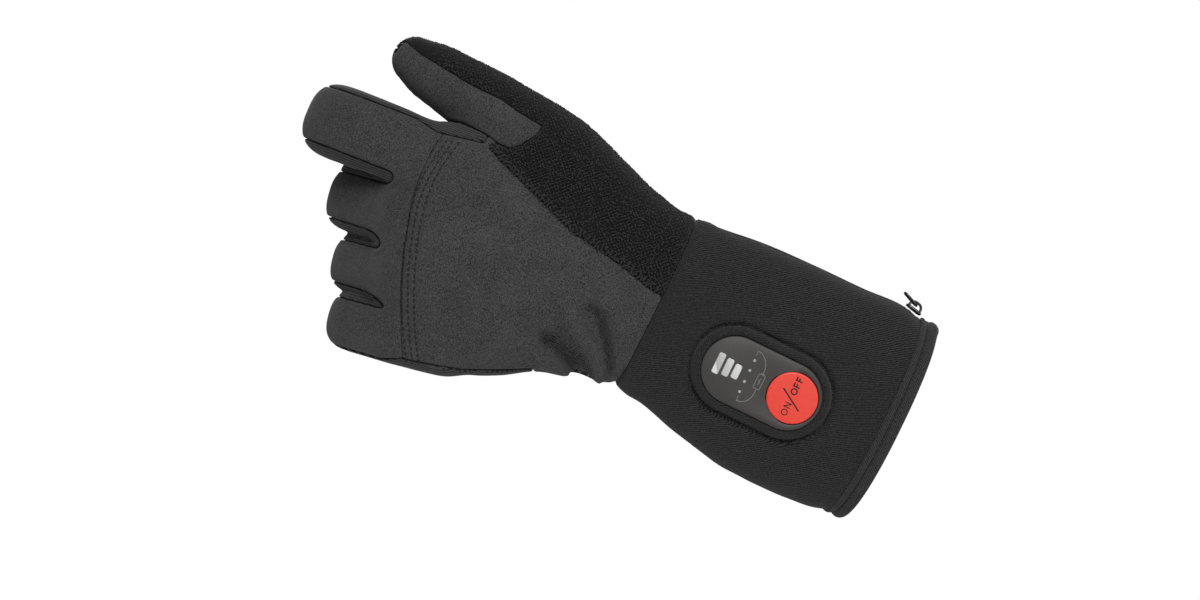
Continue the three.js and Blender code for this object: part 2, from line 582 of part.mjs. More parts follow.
// The bound edge of the opening: a folded strip over the cuff's rim, inside and out, open at the zip
const bindingInner = bodySolid(-CLOTH - GAP - BINDING_THICK * BINDING_INSIDE);
const bindingSlot = bodySolid(GAP).subtract(bodySolid(-CLOTH - GAP));
const bandAt = (low, high) => prism(cuffAll, low, high, alongCuff);
const rimLoft = (grow) => {
  const rows = [cuffRows[0], cuffRows[1]].map((row) => cuffRing(row, grow));
  rows.unshift(rows[0].map((p) => p.clone().setX(p.x + BINDING_THICK)));
  return loft(rows);
};
parts.set('hem_binding', whole(rimLoft(GAP + BINDING_THICK).subtract(bindingInner)
  .intersect(bandAt(-BINDING_WIDTH, BINDING_THICK))
  .subtract(prism(grown(tapeZone, GAP), -BINDING_WIDTH * 2, BINDING_THICK * 2, alongCuff))
  .subtract(bindingSlot.intersect(bandAt(-BINDING_WIDTH * 2, hemEdge + GAP)))
  .subtract(rimLoft(GAP).subtract(bodySolid(-CLOTH - GAP)).intersect(bandAt(-BINDING_WIDTH * 2, hemEdge + GAP)))));

// Zip on the thumb side: coil on the tape, slider at the hem end, wire pull on the slider
const tapeFace = (x) => cuffTop(x) - (CLOTH - ZIP_TAPE_THICK) / 2 + GAP;
const coilEnds = { low: -CUFF_LENGTH + GAP * 4, high: -COIL_FROM_HEM };
const coilRings = cuffRows.map((row) => THREE.MathUtils.clamp(-CUFF_LENGTH * row.at, coilEnds.low, coilEnds.high))
  .map((x) => [[-0.5, 0], [0.5, 0], [0.36, 1], [-0.36, 1]].map(([y, z]) => (
    new THREE.Vector3(x, y * COIL_WIDTH, tapeFace(x) + z * COIL_HEIGHT))));
parts.set('zip_coil', loft(coilRings));

const sliderMiddle = coilEnds.high - SLIDER_LENGTH / 2;
const sliderEnd = (side) => cuffTop(sliderMiddle + (side * SLIDER_LENGTH) / 2);
const sliderTilt = Math.atan2(sliderEnd(-1) - sliderEnd(1), SLIDER_LENGTH);
const sliderSeat = new THREE.Matrix4().makeRotationY(sliderTilt)
  .setPosition(sliderMiddle, 0, tapeFace(sliderMiddle) + COIL_HEIGHT + GAP);
const bridgeHeight = PULL_WIRE + GAP * 5;
const flat = (outline, low, high) => prism(outline, low, high, sliderSeat);
const rail = new THREE.Matrix4().multiplyMatrices(sliderSeat, acrossBack);
const sliderOutline = [[0.5, 0.30], [0.30, 0.5], [-0.20, 0.46], [-0.5, 0.24]];
const sliderShape = [...sliderOutline, ...sliderOutline.map(([x, y]) => [x, -y]).reverse()]
  .map(([x, y]) => [x * SLIDER_LENGTH, y * SLIDER_WIDTH]);
const bridgeArch = [[-0.40, 0], [-0.34, 1.0], [-0.22, 1.6], [0.22, 1.6], [0.34, 1.0], [0.40, 0]];
const bridgeHole = [[-0.24, 0], [-0.20, 0.75], [-0.12, 1], [0.12, 1], [0.20, 0.75], [0.24, 0]];
const archOf = (rows) => rows.map(([x, z]) => [x * SLIDER_LENGTH, SLIDER_PLATE + z * bridgeHeight - GAP / 3]);
parts.set('zip_slider', flat(sliderShape, 0, SLIDER_PLATE)
  .add(prism(archOf(bridgeArch), -BRIDGE_WIDTH / 2, BRIDGE_WIDTH / 2, rail))
  .subtract(prism(archOf(bridgeHole).map(([x, z]) => [x, z + GAP / 3]), -BRIDGE_WIDTH, BRIDGE_WIDTH, rail)));

// The pull: a flat wire loop, its near bar through the bridge, standing up towards the fingers
const pivotLocal = new THREE.Vector3(0, 0, SLIDER_PLATE + bridgeHeight / 2);
const pullPlace = (seat, lift) => seat.clone()
  .multiply(new THREE.Matrix4().makeTranslation(pivotLocal.x, pivotLocal.y, pivotLocal.z))
  .multiply(new THREE.Matrix4().makeRotationY(rad(lift)));
const roundOutline = (length, width, corner, steps = 3) => {
  const outline = [];
  [[1, 1, 0], [-1, 1, 90], [-1, -1, 180], [1, -1, 270]].forEach(([sx, sy, start]) => {
    for (let s = 0; s <= steps; s += 1) {
      const angle = rad(start + (90 * s) / steps);
      outline.push([sx * (length / 2 - corner) + corner * Math.cos(angle), sy * (width / 2 - corner) + corner * Math.sin(angle)]);
    }
  });
  return outline;
};
const pullSolid = (place) => {
  const loop = (inset) => {
    const width = PULL_WIDTH - inset * 2;
    return roundOutline(PULL_LENGTH - inset * 2, width, width * PULL_CORNER);
  };
  const shift = (rows) => rows.map(([x, y]) => [x - PULL_LENGTH / 2 + PULL_WIRE / 2, y]);
  return prism(shift(loop(0)), -PULL_WIRE / 2, PULL_WIRE / 2, place)
    .subtract(prism(shift(loop(PULL_WIRE)), -PULL_WIRE, PULL_WIRE, place));
};
parts.set('zip_pull', pullSolid(pullPlace(sliderSeat, PULL_LIFT)));

// Control panel on the cuff's back: its own frame lies flat on the skin, x to the hem, y to the thumb
const plateX = -PLATE_FROM_HEM;
const plateZ = -PLATE_DROP;
const slope = Math.atan2(cuffSkin(plateX + PLATE_LENGTH / 2, plateZ) - cuffSkin(plateX - PLATE_LENGTH / 2, plateZ), PLATE_LENGTH);
const panelSeat = new THREE.Matrix4().makeTranslation(plateX, -cuffSkin(plateX, plateZ), plateZ)
  .multiply(new THREE.Matrix4().makeRotationZ(-slope))
  .multiply(new THREE.Matrix4().makeBasis(new THREE.Vector3(1, 0, 0), new THREE.Vector3(0, 0, 1), new THREE.Vector3(0, -1, 0)));
const onPanel = (outline, low, high) => prism(outline, low, high, panelSeat);
const stadium = (length, width, steps = 4) => roundOutline(length, width, width / 2 - 0.01, steps);
const cuffGrown = bodySolid(GAP);
const plateSink = PLATE_THICK;
const buttonRadius = BUTTON_DIAMETER / 2;
const circle = (radius, x, sides = 18) => Array.from({ length: sides }, (_, i) => {
  const angle = (i / sides) * Math.PI * 2;
  return [x + radius * Math.cos(angle), radius * Math.sin(angle)];
});
const bars = [0, 1, 2].map((i) => ({
  name: `led_bar_${i + 1}`,
  x: -BAR_OFFSET + i * BAR_PITCH,
  length: BAR_LENGTH * (1 - BAR_STEP * i),
}));
const barOutline = (bar, extra) => (
  roundOutline(BAR_THICK + extra * 2, bar.length + extra * 2, BAR_CORNER + extra, 2).map(([x, y]) => [x + bar.x, y]));
const buttonFloor = PLATE_THICK + BUTTON_PROUD - BUTTON_THICK;
const plateFace = onPanel(stadium(PLATE_LENGTH, PLATE_WIDTH), -plateSink, PLATE_THICK - PLATE_BEVEL)
  .add(onPanel(stadium(PLATE_LENGTH - PLATE_BEVEL * 2, PLATE_WIDTH - PLATE_BEVEL * 2), 0, PLATE_THICK));
parts.set('control_plate', whole(plateFace.subtract(cuffGrown)
  .subtract(onPanel(circle(buttonRadius + GAP, BUTTON_OFFSET), buttonFloor - BUTTON_TRAVEL - GAP, PLATE_THICK * 2))
  .subtract(unite(bars.map((bar) => onPanel(barOutline(bar, GAP / 2), PLATE_THICK - BAR_DEPTH - GAP, PLATE_THICK * 2))))));
bars.forEach((bar) => parts.set(bar.name, onPanel(barOutline(bar, 0), PLATE_THICK - BAR_DEPTH, PLATE_THICK + GAP)));
parts.set('power_button', onPanel(circle(buttonRadius, BUTTON_OFFSET), buttonFloor, PLATE_THICK + BUTTON_PROUD - BUTTON_EDGE[1])
  .add(onPanel(circle(buttonRadius - BUTTON_EDGE[0], BUTTON_OFFSET), buttonFloor, PLATE_THICK + BUTTON_PROUD)));

// Padded ring round the plate
const crest = RING_WIDTH * RING_CREST * 2;
const ringOutline = stadium(PLATE_LENGTH + RING_WIDTH * 2, PLATE_WIDTH + RING_WIDTH * 2);
const ringSolid = onPanel(ringOutline, -plateSink, RING_HEIGHT * RING_SHOULDER)
  .add(onPanel(stadium(PLATE_LENGTH + crest, PLATE_WIDTH + crest), 0, RING_HEIGHT));
parts.set('control_ring', whole(ringSolid
  .subtract(onPanel(stadium(PLATE_LENGTH + GAP * 2, PLATE_WIDTH + GAP * 2), -plateSink * 2, RING_HEIGHT * 2))
  .subtract(cuffGrown)));

// Battery pocket on the cuff's palm side: a padded cover with a raised border and a line of piping
const pocketX = -POCKET_FROM_HEM;
const pocketSeat = new THREE.Matrix4().makeTranslation(pocketX, cuffSkin(pocketX, 0), 0)
  .multiply(new THREE.Matrix4().makeRotationZ(slope))
  .multiply(new THREE.Matrix4().makeBasis(new THREE.Vector3(-1, 0, 0), new THREE.Vector3(0, 0, 1), new THREE.Vector3(0, 1, 0)));
const onPocket = (outline, low, high) => prism(outline, low, high, pocketSeat);
const pocketOutline = (inset) => (
  roundOutline(POCKET_LENGTH - inset * 2, POCKET_WIDTH - inset * 2, Math.max(2, POCKET_CORNER - inset)));
const sinkDepth = CUFF_HALF_DEPTH * 0.6;
const throughPocket = (inset) => onPocket(pocketOutline(inset), -sinkDepth, POCKET_THICK * 3);
const coverBody = (inset, rise) => bodySolid(rise).intersect(throughPocket(inset));
const pocketMiddle = POCKET_THICK * POCKET_FLOOR;
const borderInner = POCKET_BORDER - PIPING;
parts.set('battery_pocket', whole(coverBody(0, pocketMiddle)
  .add(coverBody(POCKET_BORDER * 0.22, POCKET_THICK).subtract(throughPocket(borderInner)))
  .subtract(cuffGrown)));
const pipingFoot = pocketMiddle + GAP;
parts.set('pocket_piping', whole(bodySolid(pipingFoot + PIPING).subtract(bodySolid(pipingFoot))
  .intersect(throughPocket(borderInner + GAP))
  .subtract(throughPocket(borderInner + GAP + PIPING))));

// Finishes

const finishes = {
  softshell: { color: 0x414141, roughness: 0.92, metalness: 0 },
  knit: { color: 0x2e2e2e, roughness: 0.95, metalness: 0 },
  terry: { color: 0x1c1c1c, roughness: 1, metalness: 0 },
  grip: { color: 0x222222, roughness: 0.85, metalness: 0 },
  jersey: { color: 0x3b3b3b, roughness: 0.8, metalness: 0 },
  tape: { color: 0x1a1a1a, roughness: 0.8, metalness: 0 },
  coil: { color: 0x161616, roughness: 0.5, metalness: 0 },
  gunmetal: { color: 0x55565a, roughness: 0.35, metalness: 1 },
  housing: { color: 0x3c3a38, roughness: 0.5, metalness: 0 },
  lens: { color: 0xd2d2d0, roughness: 0.3, metalness: 0 },
  button: { color: 0xf0422f, roughness: 0.4, metalness: 0 },
};
const finishOf = {
  back_panel: 'softshell', finger_panel: 'softshell', thumb_side: 'softshell', index_side: 'softshell',
  little_side: 'softshell', fourchette_1: 'softshell', fourchette_2: 'softshell', fourchette_3: 'softshell',
  cuff_back: 'knit', cuff_palm: 'knit', control_ring: 'knit', battery_pocket: 'knit', pocket_piping: 'jersey',
  terry_panel: 'terry', palm_panel: 'grip', thumb_palm: 'grip', hem_binding: 'jersey', zip_tape: 'tape',
  zip_coil: 'coil', zip_slider: 'gunmetal', zip_pull: 'gunmetal', control_plate: 'housing',
  led_bar_1: 'lens', led_bar_2: 'lens', led_bar_3: 'lens', power_button: 'button',
};

const group = new THREE.Group();
parts.forEach((solid, name) => {
  const mesh = new THREE.Mesh(toGeometry(solid), new THREE.MeshStandardMaterial(finishes[finishOf[name]]));
  mesh.name = name;
  group.add(mesh);
});

export default group;
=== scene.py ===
# %% [markdown]
# # A heated glove, worn shape
# The cloth is one field: at each point of space it says how far the glove's outer skin is. Every
# panel is the part of that skin inside its own seams, and comes out as a closed padded wall.

# %% The frame
import math
import bpy
import numpy as np
from mathutils import Matrix


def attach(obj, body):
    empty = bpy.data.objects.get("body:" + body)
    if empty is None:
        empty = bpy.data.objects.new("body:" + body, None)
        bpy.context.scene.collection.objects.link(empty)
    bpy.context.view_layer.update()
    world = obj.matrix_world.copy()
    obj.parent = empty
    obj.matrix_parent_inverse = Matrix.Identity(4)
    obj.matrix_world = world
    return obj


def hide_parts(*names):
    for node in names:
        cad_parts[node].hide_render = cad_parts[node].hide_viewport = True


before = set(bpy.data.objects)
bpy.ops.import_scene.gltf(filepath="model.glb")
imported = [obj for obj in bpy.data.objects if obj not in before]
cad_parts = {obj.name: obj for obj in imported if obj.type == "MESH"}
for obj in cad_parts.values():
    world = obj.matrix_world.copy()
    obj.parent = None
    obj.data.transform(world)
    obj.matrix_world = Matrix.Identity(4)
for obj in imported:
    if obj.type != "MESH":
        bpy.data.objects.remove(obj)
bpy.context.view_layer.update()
rng = np.random.default_rng(7)

# %% [markdown]
# ## Sizes
# Millimetres. +X runs along the cuff to the forearm, +Z is the thumb side, -Y the back of the hand.

# %% Sizes and tables
CUFF_LENGTH = 114.5
CUFF_HALF = 50
CUFF_DEEP = 33
HAND_LENGTH = 105
HAND_HALF = 53
HAND_DEEP = 26
WRIST_TURN = math.radians(17)
WRIST_BEND = 0.45
WRIST_RISE = 1.5
POWER = 2.3
CLOTH = 2.0
GAP = 0.2
FINGER_RADIUS = 14.3
FINGER_LENGTH = 47
THUMB_RADIUS = 16
SIDE_SEAM = 0.74                       # side seams, as a share of a finger's radius off its middle
INDEX_SIDE_SEAM = (0.84, 0.80)         # the index finger's outer one, at its root and its end
LITTLE_SIDE_SEAM = (0.90, 0.86)        # the little finger's
ZIP_HALF = 6
STEP = 1.0      # spacing of the grid that the cloth is found on

# share along the cuff, then top and bottom in half widths, and half thickness in half depths
CUFF_ROWS = [(0.00, 0.95, -0.93, 0.98), (0.10, 1.00, -0.99, 1.00), (0.28, 0.98, -1.03, 0.98),
             (0.50, 0.965, -1.02, 0.94), (0.72, 0.935, -0.93, 0.89), (0.90, 0.88, -0.83, 0.83),
             (1.00, 0.86, -0.80, 0.80)]
# the same along the hand, then the lean of the knuckles and the drop to the palm
HAND_ROWS = [(0.05, 0.79, -0.78, 1.00, 0.0, 0.0), (0.24, 0.79, -0.79, 0.97, 0.0, 0.0),
             (0.34, 0.79, -0.81, 0.95, 0.0, 0.0), (0.47, 0.81, -0.85, 0.92, 0.0, 0.0),
             (0.63, 0.87, -0.93, 0.86, 0.2, 0.0), (0.80, 0.98, -0.96, 0.79, 0.5, 0.0),
             (1.00, 1.05, -0.96, 0.71, 1.0, 0.02), (1.14, 1.03, -0.94, 0.64, 1.0, 0.18),
             (1.30, 1.00, -0.91, 0.55, 1.0, 0.40)]
HAND_END = 1.20
KNUCKLE_LEAN = 0.12
# name, knuckle's shares along and across, lean, three bends, shares of length, shares of radius
FINGERS = [("index", 1.028, 0.785, 12.5, (12, 80, 35), (1, 0.60, 0.50), (1.04, 1.12, 0.90)),
           ("middle", 1.046, 0.265, 8, (50, 65, 30), (1.09, 0.64, 0.52), (0.98, 1.00, 0.86)),
           ("ring", 1.043, -0.25, 5, (54, 65, 30), (1.01, 0.60, 0.51), (0.90, 0.90, 0.80)),
           ("little", 1.03, -0.725, 3.5, (48, 60, 30), (0.82, 0.47, 0.47), (0.88, 0.90, 0.78))]
FINGER_LEAD = 16                       # how far a finger's tube starts inside the hand
BEND_RADIUS = 1.12                     # radius of a bend's middle line, in radii of the finger
TIP_ARCH = 0.72                        # share of the last length that the end panel covers
TUBE_FLATNESS = 0.955                  # a tube's depth over its width
TUBE_POWERS = dict(finger=2.7, thumb=2.1, gusset=2.4)
GUSSET_SHIFTS = (8.0, 4.5, 4.5)        # mm towards the upper finger
GUSSET_SHARES = (0.86, 0.84, 0.84)     # of the lower finger's radii
# shares along, across and towards the palm, and of the thumb's radius
THUMB = [(0.08, 0.42, 0.00, 1.00), (0.26, 0.62, 0.08, 1.12), (0.51, 0.98, 0.20, 1.19),
         (0.76, 1.24, 0.34, 1.02), (0.93, 1.385, 0.42, 0.95), (1.08, 1.51, 0.45, 0.82),
         (1.17, 1.59, 0.46, 0.66)]
# seams on the hand as (share along, share across)
TERRY_SEAM = [(-0.2, 0.06), (0.04, 0.09), (0.22, 0.21), (0.41, 0.36), (0.60, 0.64), (0.74, 0.84),
              (0.80, 0.94)]
LEAF_BASE = [(0.77, 0.99), (0.72, 0.96), (0.67, 1.00), (0.61, 1.11), (0.59, 1.19)]
LEAF_TOP = [(0.68, 1.26), (0.78, 1.36), (0.90, 1.43), (1.02, 1.53), (1.15, 1.64), (1.22, 1.73)]
LEAF_LOW = [(1.30, 1.50), (1.16, 1.24), (1.04, 1.14), (0.92, 1.12), (0.82, 1.05)]
LITTLE_SEAM = [(0.45, -1.10), (0.47, -0.815), (0.59, -0.86), (0.77, -0.915), (0.94, -0.905),
               (1.03, -0.90)]
INDEX_SEAM = [(0.81, 1.16), (0.82, 0.97), (0.95, 0.985), (1.03, 1.0)]
KNUCKLE_SEAM = 1.085
FORK_LINE = 1.20
# folds on the back at the wrist: points (x, z), height (a groove where negative) and width in mm
FOLDS = [([(-150, -34.5), (-139, -36), (-131, -39), (-124, -45)], -6.0, 4.0),
         ([(-166, -32), (-150, -34)], -1.2, 6.0),
         ([(-146, -23), (-138, -27), (-132, -30), (-125, -36), (-119, -43)], 4.6, 4.0),
         ([(-139, -14), (-133, -20), (-127, -27), (-122, -34), (-117, -41)], -4.8, 3.6),
         ([(-163, -43), (-154, -43), (-146, -43), (-133, -45)], 3.0, 4.2),
         ([(-131, -9), (-124, -18), (-118, -29)], 2.4, 4.2),
         ([(-185, -40), (-172, -36), (-160, -29)], 1.2, 6.0)]
PANEL = dict(x=-59.5, z=-9.0, long=55.6, wide=30.0, thick=3.0)
RING_WIDTH = 4.2
BUTTON = dict(x=14.7, radius=11.3, proud=0.7)
POCKET = dict(x=-40.5, long=50.0, wide=65.1, corner=14.0)
print("finger rows", len(FINGERS), "grid step", STEP, "mm")

# %% [markdown]
# ## Camera
# The picture plane through the glove is 526 mm wide for 1200 pixels. The camera is rolled about its
# own axis, because the cuff points down to the right.

# %% Camera
PICTURE_WIDE = 0.526
CAMERA_FAR = 0.95
CAMERA_TURN = math.radians(-3.8)
CAMERA_ROLL = math.radians(26)
aim = np.array([-0.138, -0.020, -0.0073])
ahead = np.array([-math.sin(CAMERA_TURN), math.cos(CAMERA_TURN), 0])
level = np.array([math.cos(CAMERA_TURN), math.sin(CAMERA_TURN), 0])
upright = np.array([0, 0, 1.0])
right = math.cos(CAMERA_ROLL) * level + math.sin(CAMERA_ROLL) * upright
above = -math.sin(CAMERA_ROLL) * level + math.cos(CAMERA_ROLL) * upright
lens = bpy.data.cameras.new("camera")
lens.sensor_width = 36
lens.lens = 36 * CAMERA_FAR / PICTURE_WIDE
lens.clip_start = 0.01
camera = bpy.data.objects.new("camera", lens)
bpy.context.scene.collection.objects.link(camera)
matrix = np.eye(4)
matrix[:3, 0], matrix[:3, 1], matrix[:3, 2] = right, above, -ahead
matrix[:3, 3] = aim - ahead * CAMERA_FAR
camera.matrix_world = Matrix(matrix.tolist())
bpy.context.scene.camera = camera
print("lens", round(lens.lens, 1), "mm")


# %% [markdown]
# ## The field
# A tube's distance is taken to its nearest middle point. The hand's section is a superellipse
# |a|^p + |b|^p = 1, and its distance is (f - 1) / |grad f|, good close to the skin.

# %% Field of the skin
def smooth_max(a, b, k):
    """The larger of a and b, rounded where they are closer than k: max + k h (1 - h)."""
    h = np.clip(0.5 + 0.5 * (a - b) / k, 0, 1)
    return b * (1 - h) + a * h + k * h * (1 - h)


def smooth_min(a, b, k):
    """The smaller of a and b, rounded the same way."""
    return -smooth_max(-a, -b, k)


def smoothstep(x, low, high):
    """0 below low, 1 above high, and 3t^2 - 2t^3 between them."""
    t = np.clip((x - low) / (high - low), 0, 1)
    return t * t * (3 - 2 * t)


def run_along(points):
    """How far along a run of straight lines each of its points is: the sum of the lengths before it."""
    return np.concatenate([[0], np.cumsum(np.linalg.norm(np.diff(points, axis=0), axis=1))])


def unit(vectors):
    """Vectors divided by their lengths."""
    return vectors / np.linalg.norm(vectors, axis=-1, keepdims=True)


def smooth_rows(at, values, x):
    """A Catmull-Rom curve through the rows of a table, read at x."""
    at, values = np.asarray(at, float), np.asarray(values, float)
    slope = np.gradient(values, at)
    x = np.clip(x, at[0], at[-1])
    i = np.clip(np.searchsorted(at, x) - 1, 0, len(at) - 2)
    span = at[i + 1] - at[i]
    t = (x - at[i]) / span
    return ((2 * t**3 - 3 * t**2 + 1) * values[i] + (t**3 - 2 * t**2 + t) * span * slope[i]
            + (3 * t**2 - 2 * t**3) * values[i + 1] + (t**3 - t**2) * span * slope[i + 1])


KNOTS = ([-140.0] + [-CUFF_LENGTH * (1 - r[0]) for r in CUFF_ROWS]
         + [HAND_LENGTH * r[0] for r in HAND_ROWS])


def column(i, cuff_size, hand_size):
    """One column of both tables in mm. The cuff's first row counts twice, for the run past the hem."""
    return ([r[i] * cuff_size for r in CUFF_ROWS[:1] + CUFF_ROWS]
            + [r[i] * hand_size for r in HAND_ROWS])


TABLE = {
    "top": column(1, CUFF_HALF, HAND_HALF),
    "low": column(2, CUFF_HALF, HAND_HALF),
    "deep": column(3, CUFF_DEEP, HAND_DEEP),
    "lean": [0.0] * (1 + len(CUFF_ROWS)) + [r[4] for r in HAND_ROWS],
    "sink": [0.0] * (1 + len(CUFF_ROWS)) + [r[5] for r in HAND_ROWS],
}
RUNS = np.linspace(KNOTS[0], KNOTS[-1], 500)
DENSE = {key: smooth_rows(KNOTS, rows, RUNS) for key, rows in TABLE.items()}
BEND = HAND_LENGTH * WRIST_BEND
TURN_RADIUS = BEND / WRIST_TURN
BEND_END = np.array([-CUFF_LENGTH - TURN_RADIUS * math.sin(WRIST_TURN),
                     WRIST_RISE - TURN_RADIUS * (1 - math.cos(WRIST_TURN))])


def hand_run(x, z):
    """(run past the cuff seam, distance across the hand), in mm, of points x, z."""
    dx, dz = -CUFF_LENGTH - x, z - (WRIST_RISE - TURN_RADIUS)
    angle = np.arctan2(dx, dz)
    across = np.hypot(dx, dz) - TURN_RADIUS
    ex, ez = x - BEND_END[0], z - BEND_END[1]
    far = BEND - ex * math.cos(WRIST_TURN) - ez * math.sin(WRIST_TURN)
    far_across = -ex * math.sin(WRIST_TURN) + ez * math.cos(WRIST_TURN)
    on_cuff = z - WRIST_RISE * np.clip(-x / CUFF_LENGTH, 0, 1)
    past = angle > WRIST_TURN
    cuff = x > -CUFF_LENGTH
    run = np.where(cuff, -(x + CUFF_LENGTH), np.where(past, far, angle * TURN_RADIUS))
    return run, np.where(cuff, on_cuff, np.where(past, far_across, across))


def hand_place(share, across, through=0.0):
    """The point at a share along the hand, mm across it and mm through it."""
    run = share * HAND_LENGTH
    if run <= 0:
        return np.array([-CUFF_LENGTH - run, through, WRIST_RISE + across])
    angle = min(run / TURN_RADIUS, WRIST_TURN)
    rest = max(0.0, run - BEND)
    x = -CUFF_LENGTH - TURN_RADIUS * math.sin(angle) - rest * math.cos(WRIST_TURN)
    z = WRIST_RISE - TURN_RADIUS * (1 - math.cos(angle)) - rest * math.sin(WRIST_TURN)
    return np.array([x - math.sin(angle) * across, through, z + math.cos(angle) * across])


def half_section(run):
    """Half width, middle and half depth of the section at a run."""
    top, low, deep = (np.interp(run, RUNS, DENSE[key]) for key in ("top", "low", "deep"))
    return (top - low) / 2, (top + low) / 2, deep


def body_field(p, run, across):
    """Distance to the cuff and the hand."""
    lean = np.interp(run, RUNS, DENSE["lean"])
    run = run + lean * KNUCKLE_LEAN * HAND_LENGTH * (across / HAND_HALF - 0.15) ** 2
    half, middle, deep = half_section(run)
    sink = np.interp(run, RUNS, DENSE["sink"]) * HAND_DEEP
    y = p[:, 1] - sink * (1 - smoothstep(across / HAND_HALF, 0.35, 0.75))
    a = np.abs(across - middle) / half + 1e-6
    b = np.abs(y) / deep + 1e-6
    f = (a**POWER + b**POWER) ** (1 / POWER)
    slope = np.sqrt((a ** (POWER - 1) / half) ** 2 + (b ** (POWER - 1) / deep) ** 2)
    near = (f - 1) / (slope * f ** (1 - POWER))
    return smooth_max(near, run - HAND_END * HAND_LENGTH, 14.0)


def finger_frame(row):
    """Root, direction along and direction across of one finger."""
    root = hand_place(row[1], row[2] * HAND_HALF)
    angle = math.pi + WRIST_TURN - math.radians(row[3])
    return (root, np.array([math.cos(angle), 0, math.sin(angle)]),
            np.array([math.sin(angle), 0, -math.cos(angle)]))


def finger_line(row, bend_step=10):
    """Stations (x, y, heading, radius) of a finger's middle line in its own plane, and its tip."""
    radii = [share * FINGER_RADIUS for share in row[6]]
    corner, heading, corners = np.array([0.0, 0.0]), 0.0, [np.array([0.0, 0.0])]
    for bend, share in zip(row[4], row[5]):
        heading += math.radians(bend)
        corner = corner + share * FINGER_LENGTH * np.array([math.cos(heading), math.sin(heading)])
        corners.append(corner)
    stations, heading = [(-FINGER_LEAD, 0.0, 0.0, radii[0])], 0.0
    for i, bend in enumerate(row[4]):
        turn = math.radians(bend)
        radius = [radii[0], radii[1], (radii[1] + radii[2]) / 2][i]
        curve = radius * BEND_RADIUS
        start = corners[i] - curve * math.tan(turn / 2) * np.array([math.cos(heading), math.sin(heading)])
        centre = start + curve * np.array([-math.sin(heading), math.cos(heading)])
        for s in np.linspace(0, 1, max(2, round(bend / bend_step) + 1)):
            now = heading + turn * s
            place = centre + curve * np.array([math.sin(now), -math.cos(now)])
            stations.append((place[0], place[1], now, radius))
        heading += turn
    tip = corners[-1]
    end = tip - radii[2] * np.array([math.cos(heading), math.sin(heading)])
    stations.append((end[0], end[1], heading, radii[2]))
    return stations, tip, heading, radii


def tube_field(p, line, radii, side, power):
    """Distance to a tube, the run to the nearest middle point, and the share across the tube."""
    best = np.full(len(p), 1e3)
    run_at, side_at = np.zeros(len(p)), np.zeros(len(p))
    passed = 0.0
    for i in range(len(line) - 1):
        leg = line[i + 1] - line[i]
        long = float(leg @ leg)
        t = np.clip((p - line[i]) @ leg / long, 0, 1)
        off = p - line[i] - t[:, None] * leg
        across = off @ side
        rest = np.sqrt(np.maximum((off**2).sum(1) - across**2, 0))
        spread = (np.abs(across * TUBE_FLATNESS) ** power + rest**power) ** (1 / power)
        d = spread - (radii[i] + t * (radii[i + 1] - radii[i]))
        better = d < best
        best[better] = d[better]
        run_at[better] = passed + t[better] * math.sqrt(long)
        side_at[better] = across[better]
        passed += math.sqrt(long)
    return best, run_at, side_at


def finger_tube(row):
    """A finger's middle line in space, its radii and its side direction."""
    root, along, side = finger_frame(row)
    stations = finger_line(row)[0]
    line = np.array([root + s[0] * along + np.array([0, s[1], 0]) for s in stations])
    return line, np.array([s[3] for s in stations]), side


def thumb_tube():
    """The thumb's middle line and radii, a Catmull-Rom curve through the table's rows."""
    at = np.arange(len(THUMB))
    fine = np.linspace(0, len(THUMB) - 1, 19)
    points = np.array([hand_place(r[0], r[1] * HAND_HALF, r[2] * HAND_DEEP) for r in THUMB])
    line = np.stack([smooth_rows(at, points[:, i], fine) for i in range(3)], 1)
    return line, smooth_rows(at, [r[3] * THUMB_RADIUS for r in THUMB], fine), np.array([0, 1.0, 0])


TUBES = [finger_tube(row) for row in FINGERS]
# Side cloth between two fingers bulges from the lower finger towards the upper one.
GUSSETS = [(line[:-2] + side * shift, radii[:-2] * share, side)
           for (line, radii, side), shift, share in zip(TUBES[1:], GUSSET_SHIFTS, GUSSET_SHARES)]
THUMB_TUBE = thumb_tube()


def line_distance(u, w, points):
    """Distance in the plane from (u, w) to a run of straight lines."""
    best = np.full(u.shape, 1e3)
    for (ax, az), (bx, bz) in zip(points[:-1], points[1:]):
        lx, lz = bx - ax, bz - az
        t = np.clip(((u - ax) * lx + (w - az) * lz) / (lx * lx + lz * lz), 0, 1)
        best = np.minimum(best, np.hypot(u - ax - t * lx, w - az - t * lz))
    return best


def knuckle_share(across):
    """Share along the hand of the seam over the knuckles, bent back towards the index finger."""
    return KNUCKLE_SEAM - KNUCKLE_LEAN * 0.6 * (across - 0.15) ** 2 - 0.15 * max(across - 0.3, 0) ** 2


def knuckle_rows():
    """The three stitched rows over the knuckles as points in x, z."""
    rows = []
    for shift in (-0.052, -0.026, 0.0):
        rows.append([hand_place(knuckle_share(c) + shift, c * HAND_HALF)[[0, 2]]
                     for c in np.linspace(0.93, -0.90, 13)])
    return rows


KNUCKLE_ROWS = knuckle_rows()


def stadium_distance(x, z, long, wide):
    """Distance in the plane to a stadium's edge, negative inside it."""
    reach = long / 2 - wide / 2
    return np.hypot(x - np.clip(x, -reach, reach), z) - wide / 2


def lumps(p):
    """Soft unevenness of cloth: a sum of slow waves, about -1 to 1."""
    total = np.zeros(len(p))
    for wave, size in ((23, 0.45), (37, 0.6), (14, 0.25)):
        for turn in (0.3, 1.7, 2.9):
            k = np.array([math.cos(turn), 0.6 * math.sin(2 * turn), math.sin(turn)]) * 2 * math.pi / wave
            total += size / 3 * np.sin(p @ k + turn * 5)
    return total


